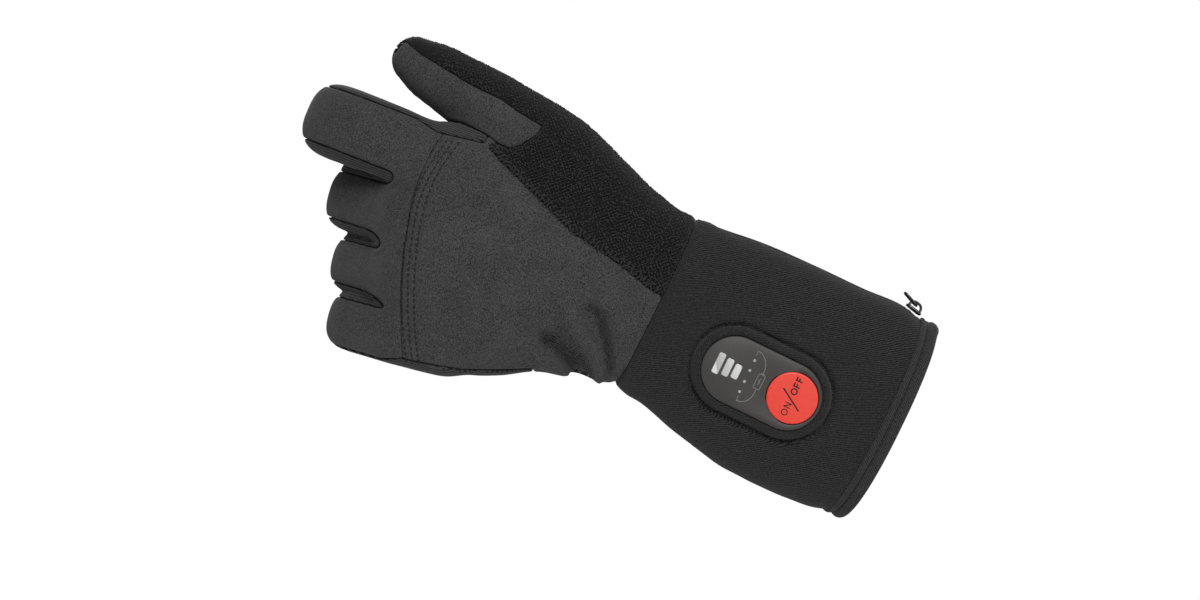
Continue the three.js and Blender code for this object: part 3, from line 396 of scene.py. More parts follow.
def relief(p, run, across):
    """How far the cloth stands out from the plain form, mm: folds, sewn rows, the panel's groove."""
    x, y, z = p.T
    back = smoothstep(-y, -4, 8)
    total = 0.35 * lumps(p)
    for points, high, wide in FOLDS:
        off = line_distance(x, z, points) / wide
        total = total + high * np.exp(-off * off) * back
    for points in KNUCKLE_ROWS:
        off = line_distance(x, z, points) / 0.9
        total = total - 0.55 * np.exp(-off * off) * smoothstep(-y, 2, 8)
    edge = stadium_distance(x - PANEL["x"], z - PANEL["z"], PANEL["long"], PANEL["wide"])
    on_cuff = (x > -100) & (y < 0)
    groove = 2.0 * np.exp(-(((edge - RING_WIDTH - 0.7) / 1.05) ** 2))
    swell = 0.9 * np.exp(-(((edge - RING_WIDTH - 3.5) / 3.0) ** 2))
    total = total + np.where(on_cuff, swell - groove, 0)
    near = (x < -205) & (y < 10)
    for outline in SLITS:
        off = polygon_distance(x[near], z[near], outline)
        rim = 0.55 * np.exp(-(((off - 1.3) / 1.0) ** 2)) - 0.35 * np.exp(-(((off - 3.2) / 0.9) ** 2))
        total[near] += rim * smoothstep(-y[near], -10, 2)
    seam = np.exp(-((run / 1.6) ** 2)) * 0.9
    shoulder = 1.0 * np.exp(-(((run + 6) / 5) ** 2))
    return total - seam + shoulder


def field(p, with_relief=True):
    """Distance to the glove's outer skin, mm, with what the pieces need to know about it."""
    p = np.asarray(p, float)
    run, across = hand_run(p[:, 0], p[:, 2])
    body = body_field(p, run, across)
    thumb = np.full(len(p), 40.0)
    near = (across > 0) & (run > -25) & (p[:, 0] > -310)
    thumb[near] = tube_field(p[near], *THUMB_TUBE, TUBE_POWERS["thumb"])[0]
    d = smooth_min(body, thumb, 9.0)
    fingers = np.full(len(p), 40.0)
    which = np.full(len(p), -1)
    finger_run, finger_side = np.zeros(len(p)), np.zeros(len(p))
    for i, (line, radii, side) in enumerate(TUBES):
        low, high = line.min(0) - 22, line.max(0) + 22
        near = np.all((p > low) & (p < high), axis=1)
        value, at, off = tube_field(p[near], line, radii, side, TUBE_POWERS["finger"])
        old = fingers[near]
        closer = value < old
        merged = smooth_min(old, value, 0.9)
        fingers[near] = merged
        index = np.nonzero(near)[0][closer]
        which[index], finger_run[index], finger_side[index] = i, at[closer], off[closer]
    for line, radii, side in GUSSETS:
        near = np.all((p > line.min(0) - 20) & (p < line.max(0) + 20), axis=1)
        value = tube_field(p[near], line, radii, side, TUBE_POWERS["gusset"])[0]
        fingers[near] = smooth_min(fingers[near], value, 0.9)
    d = smooth_min(d, fingers, 6.0)
    if with_relief:
        d = d - relief(p, run, across)
    return dict(d=d, run=run, across=across, thumb=thumb, body=body, fingers=fingers, which=which,
                finger_run=finger_run, finger_side=finger_side)


print("wrist bend radius", round(TURN_RADIUS, 1), "mm;", len(RUNS), "sections")


# %% [markdown]
# ## Seams
# A region is a distance as well, negative inside. Each panel takes what the earlier ones left.

# %% Regions of the panels
def polygon_distance(u, w, outline):
    """Signed distance to a closed outline in the plane, negative inside (crossing rule)."""
    u, w = np.asarray(u, np.float32), np.asarray(w, np.float32)
    best = np.full(u.shape, 1e9, np.float32)
    inside = np.zeros(u.shape, bool)
    for (ax, az), (bx, bz) in zip(outline, list(outline[1:]) + [outline[0]]):
        lx, lz = bx - ax, bz - az
        t = np.clip(((u - ax) * lx + (w - az) * lz) / (lx * lx + lz * lz + 1e-9), 0, 1)
        best = np.minimum(best, (u - ax - t * lx) ** 2 + (w - az - t * lz) ** 2)
        if az != bz:
            inside ^= ((az > w) != (bz > w)) & (u < lx * (w - az) / lz + ax)
    return np.where(inside, -1, 1) * np.sqrt(best)


def hand_outline(rows):
    """Rows of shares as points in x, z."""
    return [tuple(hand_place(share, across * HAND_HALF)[[0, 2]]) for share, across in rows]


def prism_region(p, outline, low=-1e3, high=1e3):
    """Region over an outline in x, z, between two heights y."""
    flat = polygon_distance(p[:, 0], p[:, 2], outline)
    return np.maximum(flat, np.maximum(low - p[:, 1], p[:, 1] - high))


def seam_point(row, sign, run, share=SIDE_SEAM):
    """A point in x, z on a finger's side seam, run mm from its root."""
    root, along, side = finger_frame(row)
    point = root + along * run + side * sign * share * row[6][1] * FINGER_RADIUS
    return (point[0], point[2])


def fork_run(row):
    """How far along a finger its side wall begins."""
    root, along, _ = finger_frame(row)
    share = FORK_LINE - KNUCKLE_LEAN * (row[2] - 0.15) ** 2
    return float((hand_place(share, row[2] * HAND_HALF) - root) @ along)


def slit_outline(row, after, start, end):
    """The gap between two fingers as an outline in x, z, round at its start."""
    a, b = np.array(seam_point(row, -1, start[0])), np.array(seam_point(after, 1, start[1]))
    ahead = finger_frame(row)[1][[0, 2]] + finger_frame(after)[1][[0, 2]]
    ahead /= np.linalg.norm(ahead)
    half = np.linalg.norm(b - a) / 2
    turns = np.radians([90, 65, 40, 15, -15, -40, -65, -90])
    arc = [(a + b) / 2 + (a - b) / 2 * math.sin(t) * 0.98 + ahead * half * 1.15 * (1 - math.cos(t))
           for t in turns]
    return [tuple(q) for q in arc] + [seam_point(after, 1, end), seam_point(row, -1, end)]


def finger_plane(p, row):
    """Coordinates of points in a finger's own frame: along, towards the palm, across."""
    root, along, side = finger_frame(row)
    off = p - root
    return off @ along, off[:, 1], off @ side


def tip_region(p, row):
    """The box over a finger's end."""
    _, tip, heading, radii = finger_line(row)
    arch = TIP_ARCH * row[5][2] * FINGER_LENGTH
    u, v, w = finger_plane(p, row)
    du, dv = u - tip[0], v - tip[1]
    along = du * math.cos(heading) + dv * math.sin(heading)
    up = -du * math.sin(heading) + dv * math.cos(heading)
    half = radii[2] + 1
    arched = -arch + 5.0 * (w / half) ** 2
    return np.maximum.reduce([arched - along, along - half, np.abs(w) - half, np.abs(up) - half * 1.6])


def back_region(p, row):
    """The outer half of a finger, from the knuckles to the arch before its end."""
    stations, tip, heading, radii = finger_line(row, 20)
    arch = TIP_ARCH * row[5][2] * FINGER_LENGTH
    stop = (tip[0] - arch * math.cos(heading), tip[1] - arch * math.sin(heading), heading)
    line = [s[:3] for s in stations[:-1]] + [stop]
    reach = radii[0] * 2.6
    inner = [(s[0], s[1]) for s in line]
    outer = [(s[0] + reach * math.sin(s[2]), s[1] - reach * math.cos(s[2])) for s in line][::-1]
    u, v, w = finger_plane(p, row)
    return np.maximum(polygon_distance(u, v, inner + outer), np.abs(w) - radii[0])


REACH = FINGER_LENGTH * 2.6
FOLDED_BACK = -FINGER_LENGTH * 0.6
PALM_CLEAR = HAND_DEEP * 1.15
THUMB_MIDDLE = THUMB[4][2] * HAND_DEEP


SLITS = [slit_outline(row, after, (fork_run(row), fork_run(after)), REACH)
         for row, after in zip(FINGERS[:-1], FINGERS[1:])]


def outer_side(row, sign, lead, shares):
    """Outlines past a finger's outer seam: one for its straight part, one for what is folded back."""
    side = hand_outline(lead) + [seam_point(row, sign, fork_run(row), shares[0]),
                                 seam_point(row, sign, REACH, shares[1]), seam_point(row, 3 * sign, REACH)]
    corners = ((1, -REACH), (1, REACH), (3, REACH), (3, -REACH))
    return side, [seam_point(row, sign * s, r) for s, r in corners]


def zones(p, f):
    """(name, region) of every panel in the order in which they are cut."""
    x, y, z = p.T
    u = np.maximum
    end = -CUFF_LENGTH + 0.15
    tape = u.reduce([np.abs(y) - ZIP_HALF, -z, end - x])
    yield "tape", tape
    yield "cuff_back", u(y, end - x)
    yield "cuff_palm", end - x
    near = hand_outline(TERRY_SEAM + LEAF_BASE + LEAF_TOP + [(1.5, 2.1), (1.2, 2.6), (-0.2, 2.2)])
    far = hand_outline([(0.48, 1.16)] + [r[:2] for r in THUMB[2:]] + [(1.5, 1.9), (1.2, 2.6), (0.4, 2.2)])
    yield "terry_panel", np.minimum(prism_region(p, near, high=THUMB_MIDDLE),
                                    prism_region(p, far, low=THUMB_MIDDLE - 2))
    yield "thumb_side", prism_region(p, hand_outline(LEAF_BASE + LEAF_TOP + LEAF_LOW), high=THUMB_MIDDLE)
    front = hand_outline([(0.86, 0.70), (1.6, 0.70), (1.6, 2.6), (0.86, 2.6)])
    yield "thumb_palm", u(f["thumb"] - 1.2, prism_region(p, front))
    index, little = FINGERS[0], FINGERS[3]
    side, ends = outer_side(index, 1, [(0.95, 1.6)] + INDEX_SEAM, INDEX_SIDE_SEAM)
    yield "index_side", np.minimum.reduce([
        prism_region(p, side), prism_region(p, ends, low=PALM_CLEAR), tip_region(p, index)])
    side, ends = outer_side(little, -1, [(0.9, -1.6)] + LITTLE_SEAM, LITTLE_SIDE_SEAM)
    yield "little_side", np.minimum(prism_region(p, side), prism_region(p, ends, low=PALM_CLEAR))
    for i, (row, after) in enumerate(zip(FINGERS[:-1], FINGERS[1:])):
        folded = slit_outline(row, after, (FOLDED_BACK, FOLDED_BACK), REACH)
        yield f"fourchette_{i + 1}", np.minimum.reduce([
            prism_region(p, SLITS[i]), prism_region(p, folded, low=PALM_CLEAR), tip_region(p, after)])
    knuckles = [(knuckle_share(c), c * 1.15) for c in (0.95, 0.75, 0.6, 0.45, 0.3, 0, -0.3, -0.6, -0.93)]
    yield "back_panel", prism_region(p, hand_outline([(-0.2, 1.2)] + knuckles + [(-0.2, -1.2)]), high=-0.15)
    behind = KNUCKLE_SEAM - 0.2
    strip = hand_outline([(behind, 1.1), (FORK_LINE, 1.1), (FORK_LINE, -1.1), (behind, -1.1)])
    backs = [back_region(p, row) for row in FINGERS]
    yield "finger_panel", np.minimum.reduce([prism_region(p, strip, high=-0.15)] + backs)
    yield "palm_panel", np.full(len(p), -1e3)


print("panels are cut by", len(TERRY_SEAM) + len(LEAF_BASE) + len(LEAF_TOP), "thumb seam points")


# %% [markdown]
# ## From field to mesh
# The field is read on a grid close to the skin. Each grid cell that the surface crosses gets one
# vertex, the mean of the crossings on its edges, and each crossed edge gets one quad.

# %% Grid and meshing
LOW = np.array([-298.0, -44.0, -80.0])
HIGH = np.array([14.0, 88.0, 80.0])
SHAPE = tuple(int(n) for n in np.ceil((HIGH - LOW) / STEP / 4) * 4 + 1)


def grid_points(index):
    """Places in mm of grid points, from their flat numbers."""
    return np.stack(np.unravel_index(index, SHAPE), 1) * STEP + LOW


def band_points():
    """Flat numbers of the grid points near the skin, found on a grid four times as coarse."""
    axes = [np.arange(0, n, 4) for n in SHAPE]
    coarse = np.stack(np.meshgrid(*axes, indexing="ij"), -1).reshape(-1, 3)
    d = field(coarse * STEP + LOW, with_relief=False)["d"].reshape([len(a) for a in axes])
    close = np.abs(d + CLOTH / 2) < STEP * 4 + 3.5
    mask = np.zeros(SHAPE, bool)
    for corner in np.argwhere(close):
        a = np.maximum(corner * 4 - 2, 0)
        b = corner * 4 + 3
        mask[a[0]:b[0], a[1]:b[1], a[2]:b[2]] = True
    return np.nonzero(mask.ravel())[0]


def surface_nets(values, origin):
    """Vertices and quads of the surface where values is zero."""
    inside = values < 0
    cells, places, quads = [], [], []
    shape = values.shape
    for axis in range(3):
        first = [slice(0, n - 1) if a == axis else slice(1, n - 1) for a, n in enumerate(shape)]
        second = [slice(1, n) if a == axis else slice(1, n - 1) for a, n in enumerate(shape)]
        one, two = values[tuple(first)], values[tuple(second)]
        found = np.argwhere(inside[tuple(first)] != inside[tuple(second)])
        if not len(found):
            continue
        va, vb = one[tuple(found.T)], two[tuple(found.T)]
        at = found + [0 if a == axis else 1 for a in range(3)]
        place = at.astype(float)
        place[:, axis] += va / (va - vb)
        b, c = (axis + 1) % 3, (axis + 2) % 3
        around = []
        for ob, oc in ((-1, -1), (0, -1), (0, 0), (-1, 0)):
            cell = at.copy()
            cell[:, b] += ob
            cell[:, c] += oc
            around.append(np.ravel_multi_index(cell.T, shape))
            cells.append(around[-1])
            places.append(place)
        quad = np.stack(around, 1)
        quads.append(np.where((va < 0)[:, None], quad, quad[:, ::-1]))
    names, number = np.unique(np.concatenate(cells), return_inverse=True)
    place = np.concatenate(places)
    count = np.bincount(number)
    points = np.stack([np.bincount(number, place[:, a]) / count for a in range(3)], 1)
    faces = np.searchsorted(names, np.concatenate(quads))
    return points * STEP + origin, faces


def keep_large(points, faces, least=400):
    """Drops loose crumbs: components of the mesh with fewer vertices than least."""
    label = np.arange(len(points))
    for _ in range(400):
        low = label[faces].min(1)
        new = label.copy()
        np.minimum.at(new, faces.ravel(), np.repeat(low, 4))
        new = new[new]
        if np.array_equal(new, label):
            break
        label = new
    size = np.bincount(label, minlength=len(points))
    keep = size[label] >= least
    number = np.cumsum(keep) - 1
    return points[keep], number[faces[keep[faces].all(1)]]


band = band_points()
places = grid_points(band)
whole = field(places)
wall = np.abs(whole["d"] + CLOTH / 2) - CLOTH / 2
close = wall < 2.6 * STEP + 1
band, places = band[close], places[close]
whole = {key: value[close] for key, value in whole.items()}
wall = wall[close]
print("grid", SHAPE, "band", len(band))


# %% Mesh helpers
def new_mesh(name, points, faces, uv=None, smooth=True):
    """A mesh object from points in mm and faces, one uv pair per point in mm if given."""
    mesh = bpy.data.meshes.new(name)
    faces = np.asarray(faces)
    mesh.vertices.add(len(points))
    mesh.vertices.foreach_set("co", (np.asarray(points, float) / 1000).ravel())
    width = faces.shape[1]
    mesh.loops.add(faces.size)
    mesh.loops.foreach_set("vertex_index", faces.ravel())
    mesh.polygons.add(len(faces))
    mesh.polygons.foreach_set("loop_start", np.arange(0, faces.size, width))
    mesh.polygons.foreach_set("loop_total", np.full(len(faces), width))
    mesh.polygons.foreach_set("use_smooth", np.full(len(faces), smooth))
    if uv is not None:
        layer = mesh.uv_layers.new(name="cloth")
        layer.data.foreach_set("uv", (np.asarray(uv, float) / 1000)[faces.ravel()].ravel())
    mesh.update(calc_edges=True)
    mesh.validate()
    obj = bpy.data.objects.new(name, mesh)
    bpy.context.scene.collection.objects.link(obj)
    return obj


def grid_faces(rows, columns, close_rows=False, close_columns=False):
    """Quads over a grid of rows by columns, its ends joined where asked."""
    i = np.arange(rows if close_rows else rows - 1)
    j = np.arange(columns if close_columns else columns - 1)
    i, j = np.meshgrid(i, j, indexing="ij")
    a = i * columns + j
    b = i * columns + (j + 1) % columns
    c = ((i + 1) % rows) * columns + (j + 1) % columns
    d = ((i + 1) % rows) * columns + j
    return np.stack([a, b, c, d], -1).reshape(-1, 4)


def normals_at(points):
    """Outward unit normals of the skin, from the field's slope."""
    points = np.asarray(points, float)
    e = 0.4
    out = np.stack([field(points + np.eye(3)[a] * e)["d"] - field(points - np.eye(3)[a] * e)["d"]
                    for a in range(3)], 1)
    return unit(out)


def onto_skin(points, direction, steps=28):
    """Points slid along a direction until they meet the skin."""
    points = np.array(points, float)
    direction = np.asarray(direction, float)
    for _ in range(steps):
        points += direction * (field(points)["d"] * 0.8)[:, None]
    return points


def resample(points, pitch):
    """Evenly spaced points along a run of straight lines."""
    points = np.asarray(points, float)
    run = run_along(points)
    count = max(2, int(round(run[-1] / pitch)) + 1)
    at = np.linspace(0, run[-1], count)
    return np.stack([np.interp(at, run, points[:, a]) for a in range(3)], 1)


def copies(template, faces, centres, along, up, scale=None):
    """Many copies of a small mesh, each turned to its own along and up directions."""
    along = unit(along)
    up = unit(up - (up * along).sum(1, keepdims=True) * along)
    side = np.cross(up, along)
    scale = np.ones((len(centres), 1)) if scale is None else scale[:, None]
    t = template[None] * scale[:, None]
    points = (centres[:, None] + t[..., :1] * along[:, None] + t[..., 1:2] * side[:, None]
              + t[..., 2:] * up[:, None])
    shift = np.arange(len(centres))[:, None, None] * len(template)
    return points.reshape(-1, 3), (faces[None] + shift).reshape(-1, faces.shape[1])


def capsule(long, radius, sides=6):
    """A closed spindle along x: rings of radius r sqrt(1 - t^2), for stitches."""
    at = np.array([-0.98, -0.72, 0.0, 0.72, 0.98])
    angle = np.arange(sides) / sides * 2 * math.pi
    ring = radius * np.sqrt(1 - at**2 * 0.92)
    points = np.stack([np.repeat(at * long / 2, sides), np.outer(ring, np.cos(angle)).ravel(),
                       np.outer(ring, np.sin(angle)).ravel()], 1)
    return points, grid_faces(len(at), sides, close_columns=True)


def stitch_row(line, pitch, long, radius, lift=0.0, up=None):
    """A row of stitches along a line on the skin, each lifted off it by so many mm."""
    points = resample(line, pitch)
    along = np.gradient(points, axis=0)
    up = normals_at(points) if up is None else np.broadcast_to(up, points.shape)
    template, faces = capsule(long, radius)
    return copies(template, faces, points + up * lift, along, up)


def join(meshes):
    """Several (points, faces) as one."""
    points, faces, shift = [], [], 0
    for p, f in meshes:
        points.append(p)
        faces.append(f + shift)
        shift += len(p)
    return np.concatenate(points), np.concatenate(faces)


print("helpers ready")

# %% [markdown]
# ## Materials
# Colours were read off the picture as sRGB and turned to linear by one function. Patterns are in
# millimetres of cloth.


# %% Materials
def linear(hex_colour):
    """sRGB hex to linear RGBA: ((c + 0.055) / 1.055)^2.4 above 0.04045, c / 12.92 below."""
    rgb = [int(hex_colour[i:i + 2], 16) / 255 for i in (1, 3, 5)]
    return [c / 12.92 if c <= 0.04045 else ((c + 0.055) / 1.055) ** 2.4 for c in rgb] + [1.0]


def add(tree, kind, links=(), **settings):
    """Adds a node. settings name its properties or, as in_0, its inputs; links are (input, socket)."""
    node = tree.nodes.new(kind)
    for key, value in settings.items():
        if key.startswith("in_"):
            node.inputs[int(key[3:])].default_value = value
        else:
            setattr(node, key, value)
    for target, socket in links:
        tree.links.new(socket, node.inputs[target])
    return node


def math_node(tree, operation, a, b=None, c=None):
    """A Math node over sockets or numbers, returning its output."""
    node = add(tree, "ShaderNodeMath", operation=operation)
    for i, value in enumerate((a, b, c)):
        if value is None:
            continue
        if isinstance(value, (int, float)):
            node.inputs[i].default_value = value
        else:
            tree.links.new(value, node.inputs[i])
    return node.outputs[0]


def start_material(name, rough, metallic=0.0, sheen=0.0, specular=0.5):
    """A material with its shader, and the place on it in mm of cloth and of space."""
    material = bpy.data.materials.new(name)
    material.use_nodes = True
    tree = material.node_tree
    shader = tree.nodes["Principled BSDF"]
    shader.inputs["Roughness"].default_value = rough
    shader.inputs["Metallic"].default_value = metallic
    shader.inputs["Specular IOR Level"].default_value = specular
    if sheen:
        shader.inputs["Sheen Weight"].default_value = sheen
        shader.inputs["Sheen Roughness"].default_value = 0.6
    place = add(tree, "ShaderNodeTexCoord")
    in_mm = []
    for output in ("Object", "UV"):
        scale = add(tree, "ShaderNodeVectorMath", [(0, place.outputs[output])], operation="SCALE")
        scale.inputs["Scale"].default_value = 1000
        in_mm.append(scale.outputs[0])
    return material, tree, shader, in_mm[0], in_mm[1]


def noise(tree, place, size, detail=2.0):
    """Noise of about that many mm."""
    return add(tree, "ShaderNodeTexNoise", [("Vector", place)], in_2=1 / size, in_3=detail).outputs["Fac"]


def ramp(tree, value, low, high, dark, light):
    """A colour between dark and light as value goes from low to high."""
    node = add(tree, "ShaderNodeValToRGB", [(0, value)])
    node.color_ramp.elements[0].position, node.color_ramp.elements[1].position = low, high
    node.color_ramp.elements[0].color, node.color_ramp.elements[1].color = linear(dark), linear(light)
    return node.outputs["Color"]


def finish_cloth(tree, shader, height, colour, bump, depth):
    """Colour and bump into the shader. depth is in metres."""
    tree.links.new(colour, shader.inputs["Base Color"])
    node = add(tree, "ShaderNodeBump", [("Height", height)])
    node.inputs["Strength"].default_value = bump
    node.inputs["Distance"].default_value = depth
    tree.links.new(node.outputs[0], shader.inputs["Normal"])


def stripes(tree, value, pitch):
    """A wave of 0 to 1 with that pitch in mm: (1 + sin(2 pi x / pitch)) / 2."""
    wave = math_node(tree, "SINE", math_node(tree, "MULTIPLY", value, 2 * math.pi / pitch))
    return math_node(tree, "MULTIPLY_ADD", wave, 0.5, 0.5)


def softshell(name, dark, light, rib=0.0):
    """Softshell: fine speckle, with faint ribs of 1 mm along the cloth where asked."""
    material, tree, shader, place, cloth_place = start_material(name, 0.92, sheen=0.12, specular=0.25)
    fine = noise(tree, place, 0.5, 2)
    broad = noise(tree, place, 12.0, 1)
    mixed = math_node(tree, "MULTIPLY_ADD", broad, 0.1, math_node(tree, "MULTIPLY", fine, 0.9))
    if rib:
        parts = add(tree, "ShaderNodeSeparateXYZ", [(0, cloth_place)]).outputs
        lines = stripes(tree, math_node(tree, "MULTIPLY_ADD", fine, 0.5, parts[1]), 0.95)
        mixed = math_node(tree, "MULTIPLY_ADD", lines, rib, math_node(tree, "MULTIPLY", mixed, 1 - rib))
    finish_cloth(tree, shader, mixed, ramp(tree, mixed, 0.36, 0.62, dark, light), 0.6, 0.00015)
    return material


def knit(name, dark, light, depth=0.00022):
    """Knit: rows of loops 1.15 mm by 1.05 mm, leaning against each other like a twill."""
    material, tree, shader, place, cloth_place = start_material(name, 0.95, sheen=0.10, specular=0.2)
    parts = add(tree, "ShaderNodeSeparateXYZ", [(0, cloth_place)]).outputs
    wobble = math_node(tree, "MULTIPLY", noise(tree, place, 2.5, 2), 1.2)
    lean = math_node(tree, "ADD", math_node(tree, "MULTIPLY_ADD", parts[0], 0.75, parts[1]), wobble)
    fall = math_node(tree, "ADD", math_node(tree, "MULTIPLY_ADD", parts[0], -1.1, parts[1]), wobble)
    across = math_node(tree, "MULTIPLY_ADD", stripes(tree, fall, 1.05), 0.7, 0.3)
    loops = math_node(tree, "MULTIPLY", stripes(tree, lean, 1.15), across)
    fine = noise(tree, place, 0.8, 3)
    mixed = math_node(tree, "MULTIPLY_ADD", loops, 0.45, math_node(tree, "MULTIPLY", fine, 0.55))
    finish_cloth(tree, shader, mixed, ramp(tree, mixed, 0.27, 0.56, dark, light), 0.9, depth)
    return material


def terry(name, dark, light):
    """Looped cloth: colour by fine noise, the loops are geometry."""
    material, tree, shader, place, _ = start_material(name, 1.0, sheen=0.15, specular=0.15)
    fine = noise(tree, place, 0.6, 3)
    finish_cloth(tree, shader, fine, ramp(tree, fine, 0.3, 0.75, dark, light), 0.6, 0.0003)
    return material


def hexagon_print(name, dark, light, line, pitch):
    """Cloth with a raised printed net of hexagons, from the distance to the nearer of two grids."""
    material, tree, shader, place, cloth_place = start_material(name, 0.8, sheen=0.05, specular=0.3)

    def vector(operation, a, b=None):
        node = add(tree, "ShaderNodeVectorMath", operation=operation)
        for i, value in enumerate((a, b)):
            if value is None:
                continue
            if isinstance(value, tuple):
                node.inputs[i].default_value = value
            else:
                tree.links.new(value, node.inputs[i])
        return node

    cell = (1.0, math.sqrt(3), 1.0)
    half = (0.5, math.sqrt(3) / 2, 0.0)
    bend = noise(tree, place, 8.0, 1)
    share = vector("SCALE", cloth_place)
    share.inputs["Scale"].default_value = 1 / pitch
    shifted = vector("ADD", share.outputs[0], (200.0, 200 * math.sqrt(3), 0.0)).outputs[0]
    one = vector("SUBTRACT", vector("MODULO", shifted, cell).outputs[0], half).outputs[0]
    moved = vector("SUBTRACT", shifted, half).outputs[0]
    two = vector("SUBTRACT", vector("MODULO", moved, cell).outputs[0], half).outputs[0]

    def edge(at):
        flat = vector("MULTIPLY", vector("ABSOLUTE", at).outputs[0], (1.0, 1.0, 0.0)).outputs[0]
        slant = vector("DOT_PRODUCT", flat, (0.5, math.sqrt(3) / 2, 0.0)).outputs["Value"]
        straight = vector("DOT_PRODUCT", flat, (1.0, 0.0, 0.0)).outputs["Value"]
        return math_node(tree, "MAXIMUM", slant, straight)

    far = math_node(tree, "MINIMUM", edge(one), edge(two))
    raised = add(tree, "ShaderNodeMapRange", [(0, far)], in_1=0.425, in_2=0.455).outputs[0]
    fine = noise(tree, place, 0.5, 3)
    cloth_colour = ramp(tree, fine, 0.3, 0.75, dark, light)
    tone = add(tree, "ShaderNodeMix", [("Factor", raised)], data_type="RGBA")
    tree.links.new(cloth_colour, tone.inputs[6])
    tree.links.new(ramp(tree, bend, 0.35, 0.65, "#5c5c5c", line), tone.inputs[7])
    height = math_node(tree, "MULTIPLY_ADD", fine, 0.25, raised)
    finish_cloth(tree, shader, height, tone.outputs[2], 0.8, 0.0004)
    return material


def hard(name, dark, light, rough, metallic=0.0, grain=0.6, bump=0.1, coat=0.0):
    """Moulded plastic or metal: fine grain in colour and bump."""
    material, tree, shader, place, _ = start_material(name, rough, metallic)
    fine = noise(tree, place, grain, 2)
    finish_cloth(tree, shader, fine, ramp(tree, fine, 0.3, 0.7, dark, light), bump, 0.00005)
    if coat:
        shader.inputs["Coat Weight"].default_value = coat
    return material


def lens_material(name):
    """Frosted light bar: paler towards one corner."""
    material, tree, shader, place, _ = start_material(name, 0.45, specular=0.5)
    parts = add(tree, "ShaderNodeSeparateXYZ", [(0, place)]).outputs
    slant = math_node(tree, "MULTIPLY_ADD", parts[2], 0.05, math_node(tree, "MULTIPLY", parts[0], 0.08))
    soft = math_node(tree, "ADD", math_node(tree, "FRACT", math_node(tree, "ADD", slant, 20.0)),
                     math_node(tree, "MULTIPLY", noise(tree, place, 2.0), 0.15))
    finish_cloth(tree, shader, soft, ramp(tree, soft, 0.1, 1.0, "#b9b9b7", "#e9e9e7"), 0.05, 0.00005)
    return material


MATERIALS = {
    "softshell": softshell("softshell cloth", "#202020", "#4f4f4f"),
    "side": softshell("ribbed softshell", "#181818", "#444444", rib=0.5),
    "knit": knit("ribbed knit", "#090909", "#393939"),
    "terry": terry("looped pile", "#080808", "#161616"),
    # the loops are the same yarn as the darker pile under them; their lighter grey is a painted highlight on
    # their tops
    "loops": terry("pile loops with painted highlight", "#101010", "#3c3c3c"),
    "grip": hexagon_print("grip print cloth", "#141414", "#262626", "#a6a6a4", 5.4),
    "jersey": knit("binding jersey", "#1e1e1e", "#444444", 0.00012),
    "lining": terry("fleece lining", "#101010", "#202020"),
    "pocket": softshell("pocket microfibre", "#1a1a1a", "#262626"),
    "thread": hard("sewing thread", "#0c0c0c", "#1c1c1c", 0.7, grain=0.3, bump=0.4),
    "tape": knit("woven zip tape", "#0e0e0e", "#222222", 0.00012),
    "coil": hard("nylon coil", "#101010", "#1d1d1d", 0.45),
    "gunmetal": hard("gunmetal plating", "#4a4a4c", "#77787a", 0.32, metallic=1.0, bump=0.15),
    "housing": hard("soft-touch plastic", "#3a3836", "#444240", 0.5, grain=0.35),
    "mark": hard("printed mark", "#77757a", "#8f8d8b", 0.6),
    "button": hard("button plastic", "#f94535", "#fd4c3b", 0.42, grain=1.2, bump=0.02, coat=0.1),
    "letters": hard("printed lettering", "#200d0a", "#2b1410", 0.5),
    "lens": lens_material("frosted lens"),
    "dots": hard("printed dots", "#a3a19f", "#bdbbb9", 0.5),
    "knit_thread": hard("grey sewing thread", "#242424", "#484848", 0.7, grain=0.4, bump=0.4),
}
print(len(MATERIALS), "materials")


def piece(name, mesh, material, body="glove", slot=None, replaces=(), uv=None, smooth=True):
    """Makes a piece, gives it its material and lets it ride on its body."""
    obj = new_mesh(name, mesh[0], mesh[1], uv, smooth)
    obj.data.materials.append(MATERIALS[material])
    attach(obj, body)
    for node in replaces:
        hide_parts(node)
    return obj


# %% [markdown]
# ## Cloth panels
# The wall is |d + t/2| - t/2, and a panel is its rounded overlap with its region. Cloth coordinates
# run along the hand and round it, so knit rows and prints keep their size.

# %% Cloth panels
ARC_ANGLES = np.linspace(-math.pi, math.pi, 721)
arc_points = np.stack([CUFF_HALF * np.cos(ARC_ANGLES), CUFF_DEEP * np.sin(ARC_ANGLES)], 1)
ARC_RUN = run_along(arc_points)


def cloth_uv(points):
    """Cloth coordinates in mm: along the cuff, hand or finger, and round it."""
    f = field(points, with_relief=False)
    angle = np.arctan2(points[:, 1], f["across"])
    round_it = np.interp(angle, ARC_ANGLES, ARC_RUN)
    uv = np.stack([f["run"], round_it], 1)
    palm = (points[:, 1] > 0) & (f["run"] > 0)
    uv[palm] = np.stack([f["run"], f["across"]], 1)[palm]
    for i, row in enumerate(FINGERS):
        on = (f["which"] == i) & (f["fingers"] < f["body"] + 2) & (f["finger_run"] > 3)
        uv[on, 0] = f["finger_run"][on] - FINGER_LEAD + row[1] * HAND_LENGTH
        uv[on, 1] = f["finger_side"][on] + row[2] * HAND_HALF
    return uv


